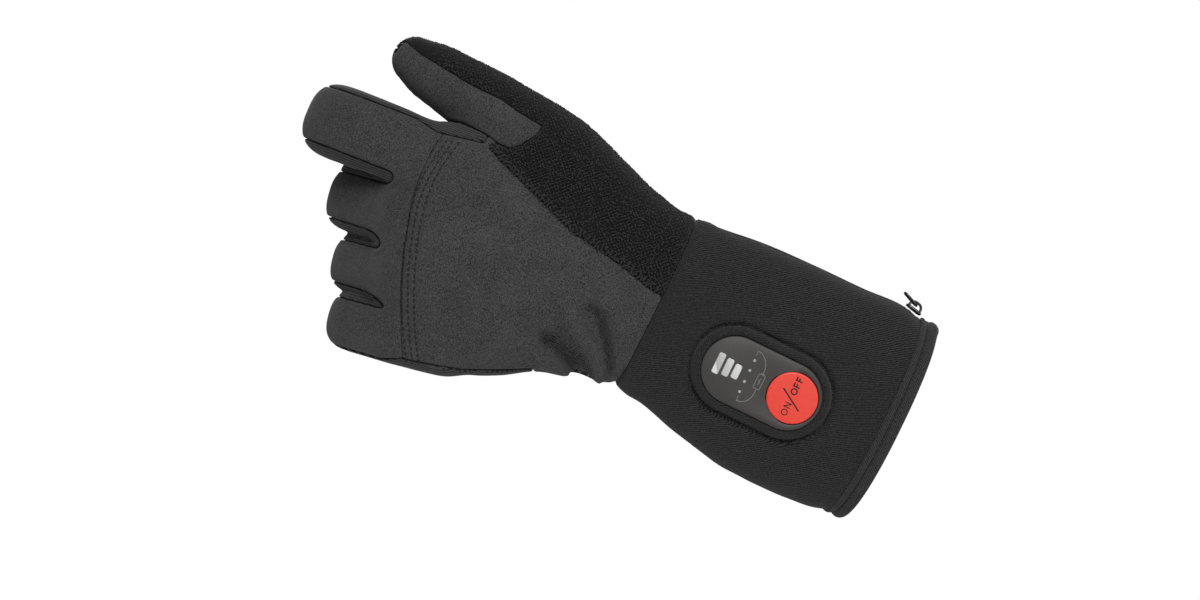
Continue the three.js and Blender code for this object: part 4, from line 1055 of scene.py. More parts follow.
FINISH = {"cuff_back": ("knit", "knit"), "cuff_palm": ("knit", "knit"), "terry_panel": ("terry", "terry"),
          "thumb_side": ("softshell", "softshell"), "thumb_palm": ("grip", "grip"),
          "palm_panel": ("grip", "grip"), "back_panel": ("softshell", "softshell"),
          "finger_panel": ("softshell", "softshell"), "index_side": ("side", "softshell"),
          "little_side": ("side", "softshell"), "fourchette_1": ("side", "softshell"),
          "fourchette_2": ("side", "softshell"), "fourchette_3": ("side", "softshell")}
HEM_EDGE = -0.3                             # where the panels end at the hem
FLUSH = ("back_panel", "finger_panel")      # the two that meet under the stitched rows
FLUSH_GAP = 0.04
panels = {}
taken = np.full(len(band), 1e3)
cut_wall = np.maximum(wall, places[:, 0] - HEM_EDGE)
for name, region in zones(places, whole):
    gap, edge = (FLUSH_GAP, 0.3) if name in FLUSH else (GAP, 1.0)
    own = np.maximum(region + gap / 2, gap - taken)
    taken = np.minimum(taken, region)
    if name == "tape":
        continue
    value = smooth_max(cut_wall, own, edge)
    keep = value < 2.5 * STEP
    index = np.stack(np.unravel_index(band[keep], SHAPE), 1)
    low, high = index.min(0) - 2, index.max(0) + 3
    block = np.full(high - low, 4.0 * STEP, np.float32)
    block[tuple((index - low).T)] = value[keep]
    points, faces = surface_nets(block, LOW + low * STEP)
    points, faces = keep_large(points, faces)
    finish, slot_name = FINISH[name]
    panels[name] = piece(name, (points, faces), finish, slot=slot_name, replaces=[name], uv=cloth_uv(points))
    corners = points[faces]
    crossed = np.cross(corners[:, 2] - corners[:, 0], corners[:, 3] - corners[:, 1])
    area = np.linalg.norm(crossed, axis=1).sum() / 4      # a quad is half of it, and the wall has two faces
    span = np.sort(points.max(0) - points.min(0))[::-1]
    long = max(span[0], math.sqrt(area) * 1.05)
    wide = area / long * 1.25
    print(name, len(points), "vertices,", round(area / 100), "cm2,", round(long), "x", round(wide), "mm")

# %% [markdown]
# ## Lining
# One layer behind all panels, found on a coarser grid inside the wall, so that no seam is see-through.

# %% Lining
LINING = 1.1            # mm inside the skin
LINING_STEP = 2.0
axes = [np.arange(int((h - l) / LINING_STEP) + 2) for l, h in zip(LOW, HIGH)]
lattice = np.stack(np.meshgrid(*axes, indexing="ij"), -1).reshape(-1, 3)
deep = field(lattice * LINING_STEP + LOW)["d"] + LINING
points, faces = surface_nets(deep.reshape([len(a) for a in axes]).astype(np.float32), LOW)
points = (points - LOW) / STEP * LINING_STEP + LOW
faces = faces[points[faces][:, :, 0].max(1) < HEM_EDGE - 1]
used = np.unique(faces)
number = np.zeros(len(points), int)
number[used] = np.arange(len(used))
piece("lining", (points[used], number[faces]), "lining", uv=cloth_uv(points[used]))
print("lining", len(used), "vertices")

# %% [markdown]
# ## Control panel
# The panel has its own flat frame on the cuff: u to the hem, v to the thumb side, h out of the
# cloth. Solids in it are stacks of outlines, each at its own height.

# %% Panel helpers
SLOPE = 0.0658                                         # the cuff's taper there, in radians
SEAT = np.array([PANEL["x"], -30.634, PANEL["z"]])     # the CAD plate's seat
PANEL_U = np.array([math.cos(SLOPE), -math.sin(SLOPE), 0.0])
PANEL_V = np.array([0.0, 0.0, 1.0])
PANEL_OUT = np.array([-math.sin(SLOPE), -math.cos(SLOPE), 0.0])


def on_panel(flat, high):
    """Points from panel coordinates: seat + u U + v V + h OUT."""
    flat = np.asarray(flat, float)
    high = np.broadcast_to(high, flat.shape[:-1])
    return SEAT + flat[..., :1] * PANEL_U + flat[..., 1:2] * PANEL_V + high[..., None] * PANEL_OUT


def round_outline(long, wide, corner, count=96, middle=(0.0, 0.0)):
    """A rectangle with round corners as points, evenly spread by their angle or their run."""
    corner = min(corner, long / 2 - 1e-3, wide / 2 - 1e-3)
    rows = []
    for sx, sy, start in ((1, 1, 0), (-1, 1, 90), (-1, -1, 180), (1, -1, 270)):
        for s in np.linspace(0, 90, count // 4):
            turn = math.radians(start + s)
            rows.append([sx * (long / 2 - corner) + corner * math.cos(turn),
                         sy * (wide / 2 - corner) + corner * math.sin(turn)])
    return np.array(rows) + middle


def stack(outlines, heights, place=on_panel):
    """A closed solid over outlines with as many points each, its two ends drawn in to a point."""
    first, last = outlines[0], outlines[-1]
    outlines = [first * 0.02 + first.mean(0) * 0.98] + list(outlines) + [last * 0.02 + last.mean(0) * 0.98]
    heights = [heights[0]] + list(heights) + [heights[-1]]
    points = np.concatenate([place(o, h) for o, h in zip(outlines, heights)])
    return points, grid_faces(len(outlines), len(first), close_columns=True)


def pillow(long, wide, corner, middle, low, high, edge, count=48):
    """A low solid with rounded upper edges: inset e = edge (1 - cos a), height - edge (1 - sin a)."""
    outlines, heights = [round_outline(long, wide, corner, count, middle)], [low]
    for turn in np.radians([0, 25, 50, 75, 90]):
        inset = edge * (1 - math.cos(turn))
        left = max(corner - inset, 0.05)
        outlines.append(round_outline(long - 2 * inset, wide - 2 * inset, left, count, middle))
        heights.append(high - edge * (1 - math.sin(turn)))
    return stack(outlines, heights)


def heading_of(line, closed=False):
    """Unit vectors along a line, at its points."""
    return unit(np.roll(line, -1, 0) - np.roll(line, 1, 0) if closed else np.gradient(line, axis=0))


def ribbon(line, wide, low, high, closed=False, place=on_panel):
    """A flat band along a line in the panel's plane."""
    line = np.asarray(line, float)
    ahead = heading_of(line, closed)
    side = np.stack([-ahead[:, 1], ahead[:, 0]], 1) * wide / 2
    rows = [place(line + side * s, h) for s, h in ((1, low), (1, high), (-1, high), (-1, low))]
    points = np.stack(rows, 1).reshape(-1, 3)
    return points, grid_faces(len(line), 4, close_rows=closed, close_columns=True)


def smooth_line(points, count=40):
    """A Catmull-Rom curve through a few points."""
    points = np.asarray(points, float)
    run = run_along(points)
    at = np.linspace(0, run[-1], count)
    return np.stack([smooth_rows(run, points[:, i], at) for i in range(points.shape[1])], 1)


def tube(line, radius, sides=10, closed=False, up=(0.0, 0.0, 1.0)):
    """A round tube along a line, its section kept upright, its ends drawn in."""
    line = np.asarray(line, float)
    ahead = heading_of(line, closed)
    side = unit(np.cross(ahead, np.broadcast_to(np.asarray(up, float), line.shape)))
    over = np.cross(side, ahead)
    radius = np.broadcast_to(radius, (len(line),)).copy()
    if not closed:
        radius[0] = radius[-1] = 0.02
    turn = np.arange(sides) / sides * 2 * math.pi
    points = (line[:, None] + radius[:, None, None] * (np.cos(turn)[None, :, None] * side[:, None]
                                                     + np.sin(turn)[None, :, None] * over[:, None]))
    return points.reshape(-1, 3), grid_faces(len(line), sides, close_rows=closed, close_columns=True)


print("panel frame at", SEAT)

# %% Plate with its recess for the button
PLATE_HIGH = PANEL["thick"]
PLATE_COUNT = 192
half_wide = PANEL["wide"] / 2


def plate_outline(inset):
    """The plate's stadium, moved in by inset."""
    corner = half_wide - inset - 0.01
    return round_outline(PANEL["long"] - 2 * inset, PANEL["wide"] - 2 * inset, corner, PLATE_COUNT)


button_middle = np.array([BUTTON["x"], 0.0])
rays = unit(plate_outline(0) - button_middle)
outlines = [plate_outline(0.3), plate_outline(0.0), plate_outline(0.0)]
heights = [-2.2, -1.9, PLATE_HIGH - 1.0]
for turn in np.radians([20, 40, 60, 80]):
    outlines.append(plate_outline(1.0 * (1 - math.cos(turn))))
    heights.append(PLATE_HIGH - 1.0 * (1 - math.sin(turn)))
for radius, high in ((BUTTON["radius"] + 0.55, PLATE_HIGH), (BUTTON["radius"] + 0.35, PLATE_HIGH - 0.15),
                     (BUTTON["radius"] + 0.3, PLATE_HIGH - 0.5), (BUTTON["radius"] + 0.3, 1.15), (4.0, 1.15)):
    outlines.append(button_middle + rays * radius)
    heights.append(high)
plate = piece("panel_plate", stack(outlines, heights), "housing", slot="housing", replaces=["control_plate"])

# Light bars, dots and the generic battery sign
BARS = [(-20.6, 9.7), (-16.3, 8.2), (-12.1, 6.7)]
for i, (u, long) in enumerate(BARS):
    bar = pillow(3.2, long, 0.9, (u, -0.3), PLATE_HIGH - 0.3, PLATE_HIGH + 0.3, 0.3)
    piece(f"light_bar_{i + 1}", bar, "lens", slot="lens", replaces=[f"led_bar_{i + 1}"])
dots = join([pillow(1.3, 1.3, 0.65, (-7.1, v), PLATE_HIGH - 0.2, PLATE_HIGH + 0.1, 0.1, 24)
             for v in (7.5, 2.7, -2.6, -7.5)])
piece("light_dots", dots, "dots", slot="lens")
MARK_LOW, MARK_HIGH = PLATE_HIGH - 0.1, PLATE_HIGH + 0.04
upper = smooth_line([(-7.4, 12.0), (-5.3, 11.4), (-3.1, 9.7), (-1.8, 7.5), (-1.35, 5.6), (-1.3, 4.0)])
lower = smooth_line([(-1.1, -3.5), (-1.2, -6.6), (-2.4, -9.4), (-4.3, -11.0), (-6.7, -11.6)])
signs = [ribbon(upper, 0.34, MARK_LOW, MARK_HIGH), ribbon(lower, 0.34, MARK_LOW, MARK_HIGH),
         ribbon([(-7.45, 9.7), (-7.4, 12.15)], 0.34, MARK_LOW, MARK_HIGH),
         ribbon([(-6.85, -9.2), (-6.7, -11.75)], 0.34, MARK_LOW, MARK_HIGH),
         ribbon(round_outline(3.0, 6.6, 0.5, 32, (-1.3, 0.0)), 0.32, MARK_LOW, MARK_HIGH, closed=True),
         ribbon([(-2.1, 3.75), (-0.5, 3.75)], 0.36, MARK_LOW, MARK_HIGH),
         ribbon([(-1.1, 1.5), (-1.7, -0.1)], 0.36, MARK_LOW, MARK_HIGH),
         ribbon([(-1.75, -0.05), (-0.85, 0.05)], 0.3, MARK_LOW, MARK_HIGH),
         ribbon([(-0.9, 0.1), (-1.5, -1.5)], 0.36, MARK_LOW, MARK_HIGH)]
piece("panel_signs", join(signs), "mark", slot="lens")
print("plate", len(plate.data.vertices), "vertices")

# %% Button and its lettering
BUTTON_LOW, BUTTON_HIGH = 2.0, PLATE_HIGH + BUTTON["proud"]


def disc(radius):
    """A round outline about the button's middle."""
    return round_outline(2 * radius, 2 * radius, radius, 96, button_middle)


button_rows = [(11.0, BUTTON_LOW), (11.3, BUTTON_LOW + 0.2), (11.3, BUTTON_HIGH - 0.45),
               (11.2, BUTTON_HIGH - 0.2), (10.95, BUTTON_HIGH - 0.05), (10.5, BUTTON_HIGH),
               (6.0, BUTTON_HIGH + 0.04), (2.0, BUTTON_HIGH + 0.05)]
piece("button_cap", stack([disc(r) for r, _ in button_rows], [h for _, h in button_rows]), "button",
      body="power_button", slot="button", replaces=["power_button"])

INK_LOW, INK_HIGH = BUTTON_HIGH - 0.05, BUTTON_HIGH + 0.09
CAP = 3.0


def letter(strokes, across, wide, weight):
    """Strokes given as (reading, upward) shares of a letter's box, set on the button."""
    out = []
    for stroke in strokes:
        run, rise = np.asarray(stroke, float).T
        flat = np.stack([button_middle[0] - 0.5 - (rise - 0.5) * CAP, across + (run - 0.5) * wide], 1)
        out.append(ribbon(flat, weight, INK_LOW, INK_HIGH))
    return out


ring_turn = np.linspace(0, 2 * math.pi, 33)
RING = np.stack([0.5 + 0.42 * np.sin(ring_turn), 0.5 + 0.42 * np.cos(ring_turn)], 1)
N_STROKES = [[(0.08, 0), (0.08, 1)], [(0.10, 0.97), (0.90, 0.03)], [(0.92, 0), (0.92, 1)]]
F_STROKES = [[(0.12, 0), (0.12, 1)], [(0.0, 0.92), (0.95, 0.92)], [(0.0, 0.50), (0.80, 0.50)]]
ink = letter([RING], -6.9, 3.0, 0.42) + letter(N_STROKES, -3.6, 2.3, 0.45)
ink += letter([RING], 2.9, 3.0, 0.62) + letter(F_STROKES, 5.9, 1.9, 0.62) + letter(F_STROKES, 8.6, 1.9, 0.62)
slash = [button_middle + (-5.4, 2.3), button_middle + (4.9, -4.0)]
ink.append(ribbon(slash, 0.66, INK_LOW, INK_HIGH))
piece("button_lettering", join(ink), "letters", body="power_button", slot="button")
print("lettering", len(ink), "strokes")

# %% Padded ring round the plate
# distance from the plate, height, and how far it follows the skin's own height
ring_profile = [(0.25, -0.6, 0.0), (0.12, 1.0, 0.0), (0.28, 1.9, 0.05), (0.8, 2.45, 0.15),
                (1.5, 2.72, 0.3), (2.2, 2.68, 0.5), (2.9, 2.3, 0.75), (3.5, 1.6, 0.9),
                (3.95, 0.7, 1.0), (4.25, -0.4, 1.0), (4.5, -2.2, 1.0), (2.2, -2.2, 0.6)]
outer = plate_outline(-RING_WIDTH)
reach = onto_skin(on_panel(outer, 7.0), -PANEL_OUT)
skin_high = (reach - SEAT) @ PANEL_OUT + 0.7
rows = []
for off, high, share in ring_profile:
    rows.append(on_panel(plate_outline(-off), high + np.minimum(skin_high, 0.4) * share))
ring_run = run_along(outer)
ring_across = np.repeat([r[0] for r in ring_profile], PLATE_COUNT) * 1.3
ring_uv = np.stack([np.tile(ring_run, len(rows)), ring_across], 1)
ring_faces = grid_faces(len(rows), PLATE_COUNT, close_rows=True, close_columns=True)
ring = piece("panel_ring", (np.concatenate(rows), ring_faces), "knit", slot="knit",
             replaces=["control_ring"], uv=ring_uv)
groove_line = onto_skin(on_panel(plate_outline(-RING_WIDTH - 0.7), 6.0), -PANEL_OUT)
groove_line = np.roll(groove_line, -groove_line[:, 0].argsort()[0], 0)
piece("ring_stitches", stitch_row(groove_line, 2.3, 1.8, 0.28), "thread", slot="knit")
print("ring", len(ring.data.vertices), "vertices")

# %% [markdown]
# ## Hem binding
# A ribbed strip folded over the cuff's end: its profile runs (x, distance off the skin) and is
# carried round the section, which is open at the zip. The ends swell and close.

# %% Hem binding
PROFILE = np.array([(-8.3, -0.2), (-8.25, 0.55), (-7.8, 1.05), (-7.0, 1.3), (-6.2, 1.2), (-5.6, 0.8),
                    (-5.2, 0.2), (-4.9, 0.1), (-4.6, 0.6), (-4.1, 1.25), (-3.3, 1.75), (-2.3, 1.95),
                    (-1.3, 1.75), (-0.4, 1.2), (0.1, 0.3), (0.15, -0.9), (-0.2, -2.0), (-1.0, -2.8),
                    (-2.4, -3.2), (-4.5, -3.1), (-6.6, -2.9), (-7.4, -2.4), (-7.2, -2.05),
                    (-1.6, -2.05), (-1.6, -0.1)])
BINDING_END = 4.0      # half width of the opening at the zip
HEM_SHIFT = 4.2        # how far the strip reaches past the CAD's


def section(x, turn):
    """Point and outward normal of the cuff's section at x, at turns from the thumb side."""
    run = -(x + CUFF_LENGTH)
    half, middle, deep = half_section(run)
    lift = WRIST_RISE * np.clip(-x / CUFF_LENGTH, 0, 1)
    c, s = np.cos(turn), np.sin(turn)
    a = np.sign(c) * np.abs(c) ** (2 / POWER)
    b = np.sign(s) * np.abs(s) ** (2 / POWER)
    point = np.stack([np.broadcast_to(x, a.shape), b * deep, a * half + middle + lift], -1)
    normal = np.stack([0 * a, np.sign(b) * np.abs(b) ** (POWER - 1) / deep,
                       np.sign(a) * np.abs(a) ** (POWER - 1) / half], -1)
    return point, unit(normal)


fine_turn = np.linspace(0, 2 * math.pi, 4001)
fine_point = section(-3.0, fine_turn)[0]
fine_run = run_along(fine_point)
open_from = fine_run[np.argmax(fine_point[:, 1] > BINDING_END)]
open_to = fine_run[len(fine_run) - 1 - np.argmax(fine_point[::-1, 1] < -BINDING_END)]
stations = np.linspace(open_from, open_to, 1101)
turns = np.interp(stations, fine_run, fine_turn)
from_end = np.minimum(stations - open_from, open_to - stations)
swell = 1.0 + 0.22 * np.exp(-(((from_end - 6.5) / 5.0) ** 2))
shut = np.sqrt(np.clip(1 - (1 - np.clip(from_end / 2.6, 0, 1)) ** 2, 0.0004, 1))
rows = []
for x, off in PROFILE:
    outer_ridge = float(np.exp(-((x + 2.2) / 2.4) ** 2) * (off > -1))
    ribs = 0.10 * outer_ridge * np.sin(2 * math.pi * (stations + 0.55 * x) / 0.95)
    inner_ribs = 0.05 * float(off > 0.5 and x < -5.4) * np.sin(2 * math.pi * (stations - 0.8 * x) / 1.0)
    wave = 0.12 * np.sin(stations / 9.0) * outer_ridge
    swollen = -4.0 + (x + 4.0) * (shut * np.where(x > -4.5, swell, 1.0))
    away = -0.9 + (off + 0.9) * shut * (1 + (swell - 1) * 0.6) + ribs + inner_ribs + wave
    point, normal = section(min(x + HEM_SHIFT, -0.01), turns)
    point[:, 0] = swollen + HEM_SHIFT
    rows.append(point + normal * away[:, None])
binding_points = np.stack(rows, 1).reshape(-1, 3)
binding_uv = np.stack([np.tile(PROFILE[:, 0], len(stations)), np.repeat(stations, len(PROFILE))], 1)
binding_faces = grid_faces(len(stations), len(PROFILE), close_columns=True)
binding = piece("hem_binding_strip", (binding_points, binding_faces), "jersey", slot="jersey",
                replaces=["hem_binding"], uv=binding_uv)
point, normal = section(-5.05 + HEM_SHIFT, turns[8:-8])
piece("binding_stitches", stitch_row(point + normal * 0.15, 2.5, 1.9, 0.34, 0.15), "thread", slot="jersey")
print("binding", len(binding_points), "vertices")

# %% [markdown]
# ## Zip
# Woven tape in the gap between the two cuff panels, nylon coil teeth on it, a cast slider at the
# hem end and a wire pull.

# %% Zip
tape_x = np.arange(-CUFF_LENGTH + 1.0, -2.4, 1.0)
tape_across = np.concatenate([np.linspace(-5.7, 5.7, 21), np.linspace(5.7, -5.7, 21)])
tape_depth = np.concatenate([np.full(21, -0.75), np.full(21, -1.75)])


def zip_place(x, y, off):
    """A point over the zip: at x along the cuff, y across, off mm off the skin."""
    x, y, off = np.broadcast_arrays(np.asarray(x, float), y, off)
    run = -(x + CUFF_LENGTH)
    half, middle, deep = half_section(run)
    lift = WRIST_RISE * np.clip(-x / CUFF_LENGTH, 0, 1)
    z = (1 - (np.abs(y) / deep) ** POWER) ** (1 / POWER) * half + middle + lift
    return np.stack([x, y, z + off], -1)


tape_points = zip_place(tape_x[:, None], tape_across[None], tape_depth[None]).reshape(-1, 3)
tape_uv = np.stack([np.repeat(tape_x, len(tape_across)), np.tile(tape_across, len(tape_x))], 1)
tape_faces = grid_faces(len(tape_x), len(tape_across), close_columns=True)
tape = piece("zip_tape_woven", (tape_points, tape_faces), "tape", slot="tape", replaces=["zip_tape"],
             uv=tape_uv)

tooth_x = np.arange(-CUFF_LENGTH + 2.0, -11.0, 0.7)
side_sign = np.where(np.arange(len(tooth_x)) % 2 == 0, 1.0, -1.0)
centre = zip_place(tooth_x, side_sign * 0.75, -0.35)
leaning = np.stack([np.full(len(tooth_x), 0.22), side_sign, np.zeros(len(tooth_x))], 1)
upward = np.broadcast_to([0, 0, 1.0], centre.shape)
tooth, tooth_faces = capsule(3.0, 0.33, 8)
coil = [copies(tooth, tooth_faces, centre, leaning, upward)]
for y in (-2.15, 2.15):
    coil.append(tube(zip_place(np.arange(-CUFF_LENGTH + 1.4, -10.5, 1.5), y, -0.45), 0.38, 8))
piece("zip_coil_teeth", join(coil), "coil", slot="coil", replaces=["zip_coil"])
for y, name in ((-5.1, "a"), (5.1, "b")):
    line = zip_place(np.arange(-CUFF_LENGTH + 3, -10.0, 2.0), y, -0.72)
    row = stitch_row(line, 2.6, 1.9, 0.26, up=(0, 0, 1.0))
    piece(f"zip_edge_stitches_{name}", row, "thread", slot="tape")
for y, name in ((-8.0, "a"), (8.0, "b"), (-10.2, "c"), (10.2, "d")):
    line = onto_skin(zip_place(np.arange(-CUFF_LENGTH + 4, -9.0, 2.0), y, 3.0), (0, 0, -1.0))
    piece(f"zip_top_stitches_{name}", stitch_row(line, 2.4, 1.9, 0.22, 0.02), "knit_thread", slot="knit")

# Slider: a cast body and its bridge
SLIDER_TILT = 0.2259
PIVOT = np.array([-6.907, 0.0, 52.969])
slider_along = np.array([math.cos(SLIDER_TILT), 0.0, -math.sin(SLIDER_TILT)])
slider_up = np.array([math.sin(SLIDER_TILT), 0.0, math.cos(SLIDER_TILT)])
SLIDER_SEAT = PIVOT - slider_up * (1.3 + 1.35)


def on_slider(flat, high):
    """Points from the slider's coordinates: along it to the hem, across it, and off the tape."""
    flat = np.asarray(flat, float)
    high = np.broadcast_to(high, flat.shape[:-1])
    return (SLIDER_SEAT + flat[..., :1] * slider_along + flat[..., 1:2] * np.array([0, 1.0, 0])
            + high[..., None] * slider_up)


def slider_outline(scale):
    """The slider's plate, wider at its hem end where the teeth come in."""
    outline = round_outline(8.0 * scale, 6.4 * scale, 2.2 * scale, 64)
    outline[:, 1] *= 0.80 + 0.20 * (outline[:, 0] / (4.0 * scale) + 1) / 2 * 1.2
    return outline


body_rows = [(0.90, -0.1), (1.0, 0.15), (1.0, 0.7), (0.97, 1.0), (0.90, 1.2), (0.80, 1.28)]
slider_body = stack([slider_outline(s) for s, _ in body_rows], [h for _, h in body_rows], on_slider)
arch = smooth_line([(-3.0, 0.9), (-2.7, 2.6), (-1.6, 3.75), (0.0, 4.0), (1.6, 3.75), (2.7, 2.6),
                    (3.0, 0.9)], 41)
arch_line = on_slider(np.stack([arch[:, 0], 0 * arch[:, 0]], 1), arch[:, 1])
slider_bridge = tube(arch_line, 0.62, 12, up=(0, 1.0, 0))
piece("zip_slider_cast", join([slider_body, slider_bridge]), "gunmetal", slot="gunmetal",
      replaces=["zip_slider"])

# Pull: a closed wire loop through the bridge, pinched at its waist
LIFT = SLIDER_TILT + math.radians(10)
pull_along = np.array([math.cos(LIFT), 0, -math.sin(LIFT)])
loop = round_outline(9.0 - 1.2, 5.2 - 1.2, 1.9, 64)
loop[:, 0] += -9.0 / 2 + 0.6
loop[:, 1] *= 1 - 0.30 * np.exp(-(((loop[:, 0] + 3.4) / 1.1) ** 2))
pull_line = PIVOT + loop[:, :1] * pull_along + loop[:, 1:] * np.array([0, 1.0, 0])
keep = np.linalg.norm(np.diff(pull_line, axis=0, append=pull_line[:1]), axis=1) > 1e-4
pull_up = np.cross(pull_along, [0, 1.0, 0])
pull_mesh = tube(pull_line[keep], 0.58, 12, closed=True, up=pull_up)
piece("zip_pull_wire", pull_mesh, "gunmetal", body="zip_pull", slot="gunmetal", replaces=["zip_pull"])
print("zip", len(tooth_x), "teeth")

# %% [markdown]
# ## Battery pocket
# A padded cover on the palm side: its height over the skin follows the distance to its own edge.

# %% Battery pocket
# distance in from the edge, and height over the skin
POCKET_ROWS = [(0.0, -0.6), (0.15, 1.6), (0.7, 3.6), (1.6, 5.1), (2.9, 5.9), (4.4, 6.0), (5.5, 5.6),
               (6.3, 4.7), (6.9, 3.9), (8.0, 3.75), (10.5, 3.8), (14.0, 3.9), (18.0, 4.0),
               (21.0, 4.05), (24.3, 4.1)]
POCKET_COUNT = 160


def pocket_skin(outline, rise):
    """Outline points carried to the cuff's palm side and lifted off it."""
    flat = np.stack([POCKET["x"] + outline[:, 0], np.full(len(outline), 60.0), outline[:, 1]], 1)
    foot = onto_skin(flat, (0, -1.0, 0), 40)
    return foot + normals_at(foot) * np.broadcast_to(rise, (len(foot),))[:, None]


def pocket_outline(inset):
    """The pocket's outline moved in."""
    corner = max(POCKET["corner"] - inset, 1.5)
    return round_outline(POCKET["long"] - 2 * inset, POCKET["wide"] - 2 * inset, corner, POCKET_COUNT)


rows = [pocket_skin(pocket_outline(inset), high) for inset, high in POCKET_ROWS]
middle = rows[-1].mean(0)
rows.append(rows[-1] * 0.03 + (middle + [0, 0.4, 0]) * 0.97)
pocket_points = np.concatenate(rows)
pocket_faces = grid_faces(len(rows), POCKET_COUNT, close_columns=True)
pocket = piece("pocket_cover", (pocket_points, pocket_faces), "pocket", slot="knit",
               replaces=["battery_pocket"], uv=pocket_points[:, [0, 2]])
piping = pocket_skin(pocket_outline(7.0), 4.3)
piping_step = np.linalg.norm(np.diff(piping, axis=0, append=piping[:1]), axis=1) > 1e-3
piping_tube = tube(piping[piping_step], 0.8, 8, closed=True, up=(0, 1.0, 0))
piece("pocket_piping_cord", piping_tube, "jersey", slot="jersey", replaces=["pocket_piping"])
edge_line = pocket_skin(pocket_outline(5.9), 5.4)
pocket_row = stitch_row(edge_line, 2.6, 1.9, 0.28, up=(0, 1.0, 0))
piece("pocket_stitches", pocket_row, "thread", slot="knit")
print("pocket", sum(len(r) for r in rows), "vertices")

# %% [markdown]
# ## Stitches and pile
# Rows of stitches lie in the grooves that the field already has. The wiping cloth is covered with
# small loops, set in a slanting net over the panel's outer face, and two rows of larger loops hang
# over its seam.

# %% Stitch rows
for i, row in enumerate(KNUCKLE_ROWS):
    line = np.stack([[p[0] for p in row], np.full(len(row), -40.0), [p[1] for p in row]], 1)
    line = onto_skin(resample(line, 2.0), (0, 1.0, 0), 40)
    piece(f"knuckle_stitches_{i + 1}", stitch_row(line, 2.7, 1.8, 0.48, 0.12), "thread", slot="softshell")
print("three knuckle rows")


# %% Loops of the wiping cloth
def loop_template(long, high, radius, sides=4, rings=5):
    """A standing half loop of thread along x: x = long/2 cos a, z = high sin a."""
    turn = np.linspace(0.02, math.pi - 0.02, rings)
    line = np.stack([long / 2 * np.cos(turn), 0 * turn, high * np.sin(turn)], 1)
    ahead = heading_of(line)
    side = np.array([0, 1.0, 0])
    over = np.cross(ahead, side)
    angle = np.arange(sides) / sides * 2 * math.pi + 0.4
    points = line[:, None] + radius * (np.cos(angle)[None, :, None] * side
                                       + np.sin(angle)[None, :, None] * over[:, None])
    return points.reshape(-1, 3), grid_faces(rings, sides, close_columns=True)


FACING = 0.62      # a spot whose normal has more y than this lies on the back or on the palm side


def pile_points(obj, pitch, low_d=-0.5):
    """Points of a slanting net with that pitch on the outer face of a panel."""
    count = len(obj.data.vertices)
    co = np.empty(count * 3)
    obj.data.vertices.foreach_get("co", co)
    co = co.reshape(-1, 3) * 1000
    co = co[field(co)["d"] > low_d]
    normal = normals_at(co)
    faces_up = np.abs(normal[:, 1]) > FACING
    u = co[:, 0]
    w = np.where(faces_up, co[:, 2], co[:, 1] * 1.02 + 300)
    a, b = (u + w) / math.sqrt(2) / pitch, (u - w) / math.sqrt(2) / pitch
    palm_side = normal[:, 1] > 0
    cell = np.stack([np.round(a), np.round(b), faces_up.astype(float), palm_side.astype(float)], 1)
    miss = np.hypot(a - cell[:, 0], b - cell[:, 1])
    order = np.argsort(miss)
    _, first = np.unique(cell[order].astype(int), axis=0, return_index=True)
    pick = order[first]
    pick = pick[miss[pick] < 0.45]
    return co[pick], normal[pick]


loop_at, loop_up = pile_points(panels["terry_panel"], 1.3)
lean_to = np.stack([np.full(len(loop_at), 1.0), np.zeros(len(loop_at)), np.full(len(loop_at), 0.8)], 1)
lean_to += rng.normal(0, 1.7, lean_to.shape)
template, faces = loop_template(0.95, 0.62, 0.30)
size = rng.uniform(0.85, 1.15, len(loop_at)) * (1 - 0.55 * smoothstep(-loop_at[:, 0], 246, 256))
pile = copies(template, faces, loop_at - loop_up * 0.15, lean_to, loop_up, size)
piece("terry_loops", pile, "loops", slot="terry")
print("loops", len(loop_at))

# %% Larger loops along the wiping cloth's seam
seam_line = [hand_place(share, across * HAND_HALF, -60.0) for share, across in TERRY_SEAM[1:]]
edge_meshes = []
for shift, pitch in ((0.6, 1.9), (2.2, 2.3)):
    line = resample(smooth_line(seam_line, 80), pitch)
    ahead = np.gradient(line, axis=0)
    away = np.stack([ahead[:, 2], 0 * ahead[:, 0], -ahead[:, 0]], 1)
    away *= np.sign((away * [0, 0, 1.0]).sum(1, keepdims=True)) / np.linalg.norm(away, axis=1, keepdims=True)
    line = onto_skin(line + away * shift + rng.normal(0, 0.25, line.shape) * [1, 0, 1], (0, 1.0, 0), 40)
    turn = away + rng.normal(0, 0.5, line.shape) * [1, 0, 1]
    out = normals_at(line)
    big, big_faces = loop_template(1.9, 1.15, 0.42, 6, 7)
    big_size = rng.uniform(0.8, 1.2, len(line))
    edge_meshes.append(copies(big, big_faces, line - out * 0.1, turn, out, big_size))
piece("terry_edge_loops", join(edge_meshes), "loops", slot="terry")
print("larger loops", sum(len(p) for p, _ in edge_meshes), "vertices")

# %% [markdown]
# ## Lights, floor and the last line
# Three soft lights and a grey sky light the cloth, and the camera alone sees that sky as white. The
# floor lies far below.

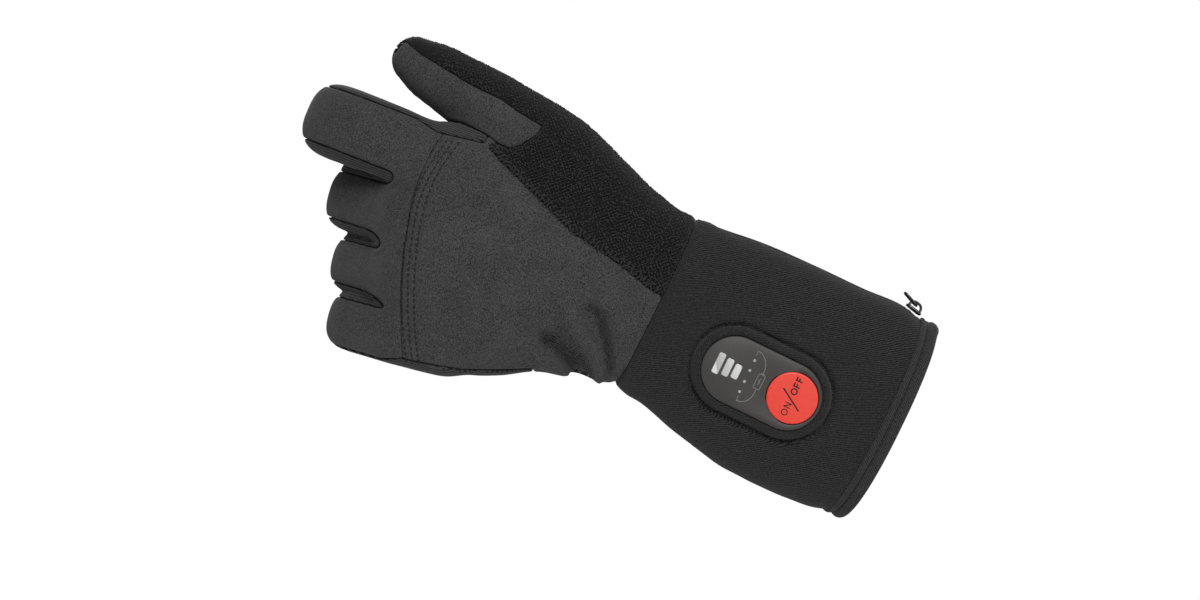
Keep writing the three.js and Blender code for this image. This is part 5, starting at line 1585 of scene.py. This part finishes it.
# %% Stage
def area_light(name, place, aim_at, power, size):
    """A square soft light."""
    data = bpy.data.lights.new(name, "AREA")
    data.energy, data.size = power, size
    light = bpy.data.objects.new(name, data)
    bpy.context.scene.collection.objects.link(light)
    back = np.array(place, float) - np.array(aim_at, float)
    back /= np.linalg.norm(back)
    side = np.cross([0, 0, 1.0], back)
    side /= np.linalg.norm(side)
    turn = np.eye(4)
    turn[:3, 0], turn[:3, 1], turn[:3, 2], turn[:3, 3] = side, np.cross(back, side), back, place
    light.matrix_world = Matrix(turn.tolist())
    return light


MIDDLE = (-0.14, 0.0, 0.0)
area_light("key", (-0.35, -1.3, 0.85), MIDDLE, 14.5, 0.7)
area_light("fill", (0.7, -1.2, -0.1), MIDDLE, 3.2, 1.0)
area_light("palm_side", (-0.2, 1.3, 0.6), MIDDLE, 11, 1.2)
world = bpy.data.worlds.new("studio")
bpy.context.scene.world = world
world.use_nodes = True
tree = world.node_tree
shade = tree.nodes["Background"]
shade.inputs["Color"].default_value = (0.22, 0.22, 0.225, 1)
bright = add(tree, "ShaderNodeBackground")
bright.inputs["Color"].default_value = (1, 1, 1, 1)
ray = add(tree, "ShaderNodeLightPath")
pick = add(tree, "ShaderNodeMixShader", [(0, ray.outputs["Is Camera Ray"]), (1, shade.outputs[0]),
                                         (2, bright.outputs[0])])
tree.links.new(pick.outputs[0], tree.nodes["World Output"].inputs[0])

FLOOR = -430.0
angle = np.arange(96) / 96 * 2 * math.pi
ring = np.stack([-140 + 500 * np.cos(angle), 500 * np.sin(angle), np.full(96, FLOOR)], 1)
inner = ring.copy()
inner[:, :2] = (ring[:, :2] - [-140, 0]) * 0.0005 + [-140, 0]
floor = new_mesh("floor", np.concatenate([ring, inner]), grid_faces(2, 96, close_columns=True))
floor_material, tree, shader, place, _ = start_material("studio floor", 0.8)
grain = noise(tree, place, 12.0)
finish_cloth(tree, shader, grain, ramp(tree, grain, 0.2, 0.8, "#f1f1f1", "#f6f6f6"), 0.02, 0.0001)
floor.data.materials.append(floor_material)
scene = bpy.context.scene
scene.view_settings.view_transform = "Standard"

print("lights and floor ready")
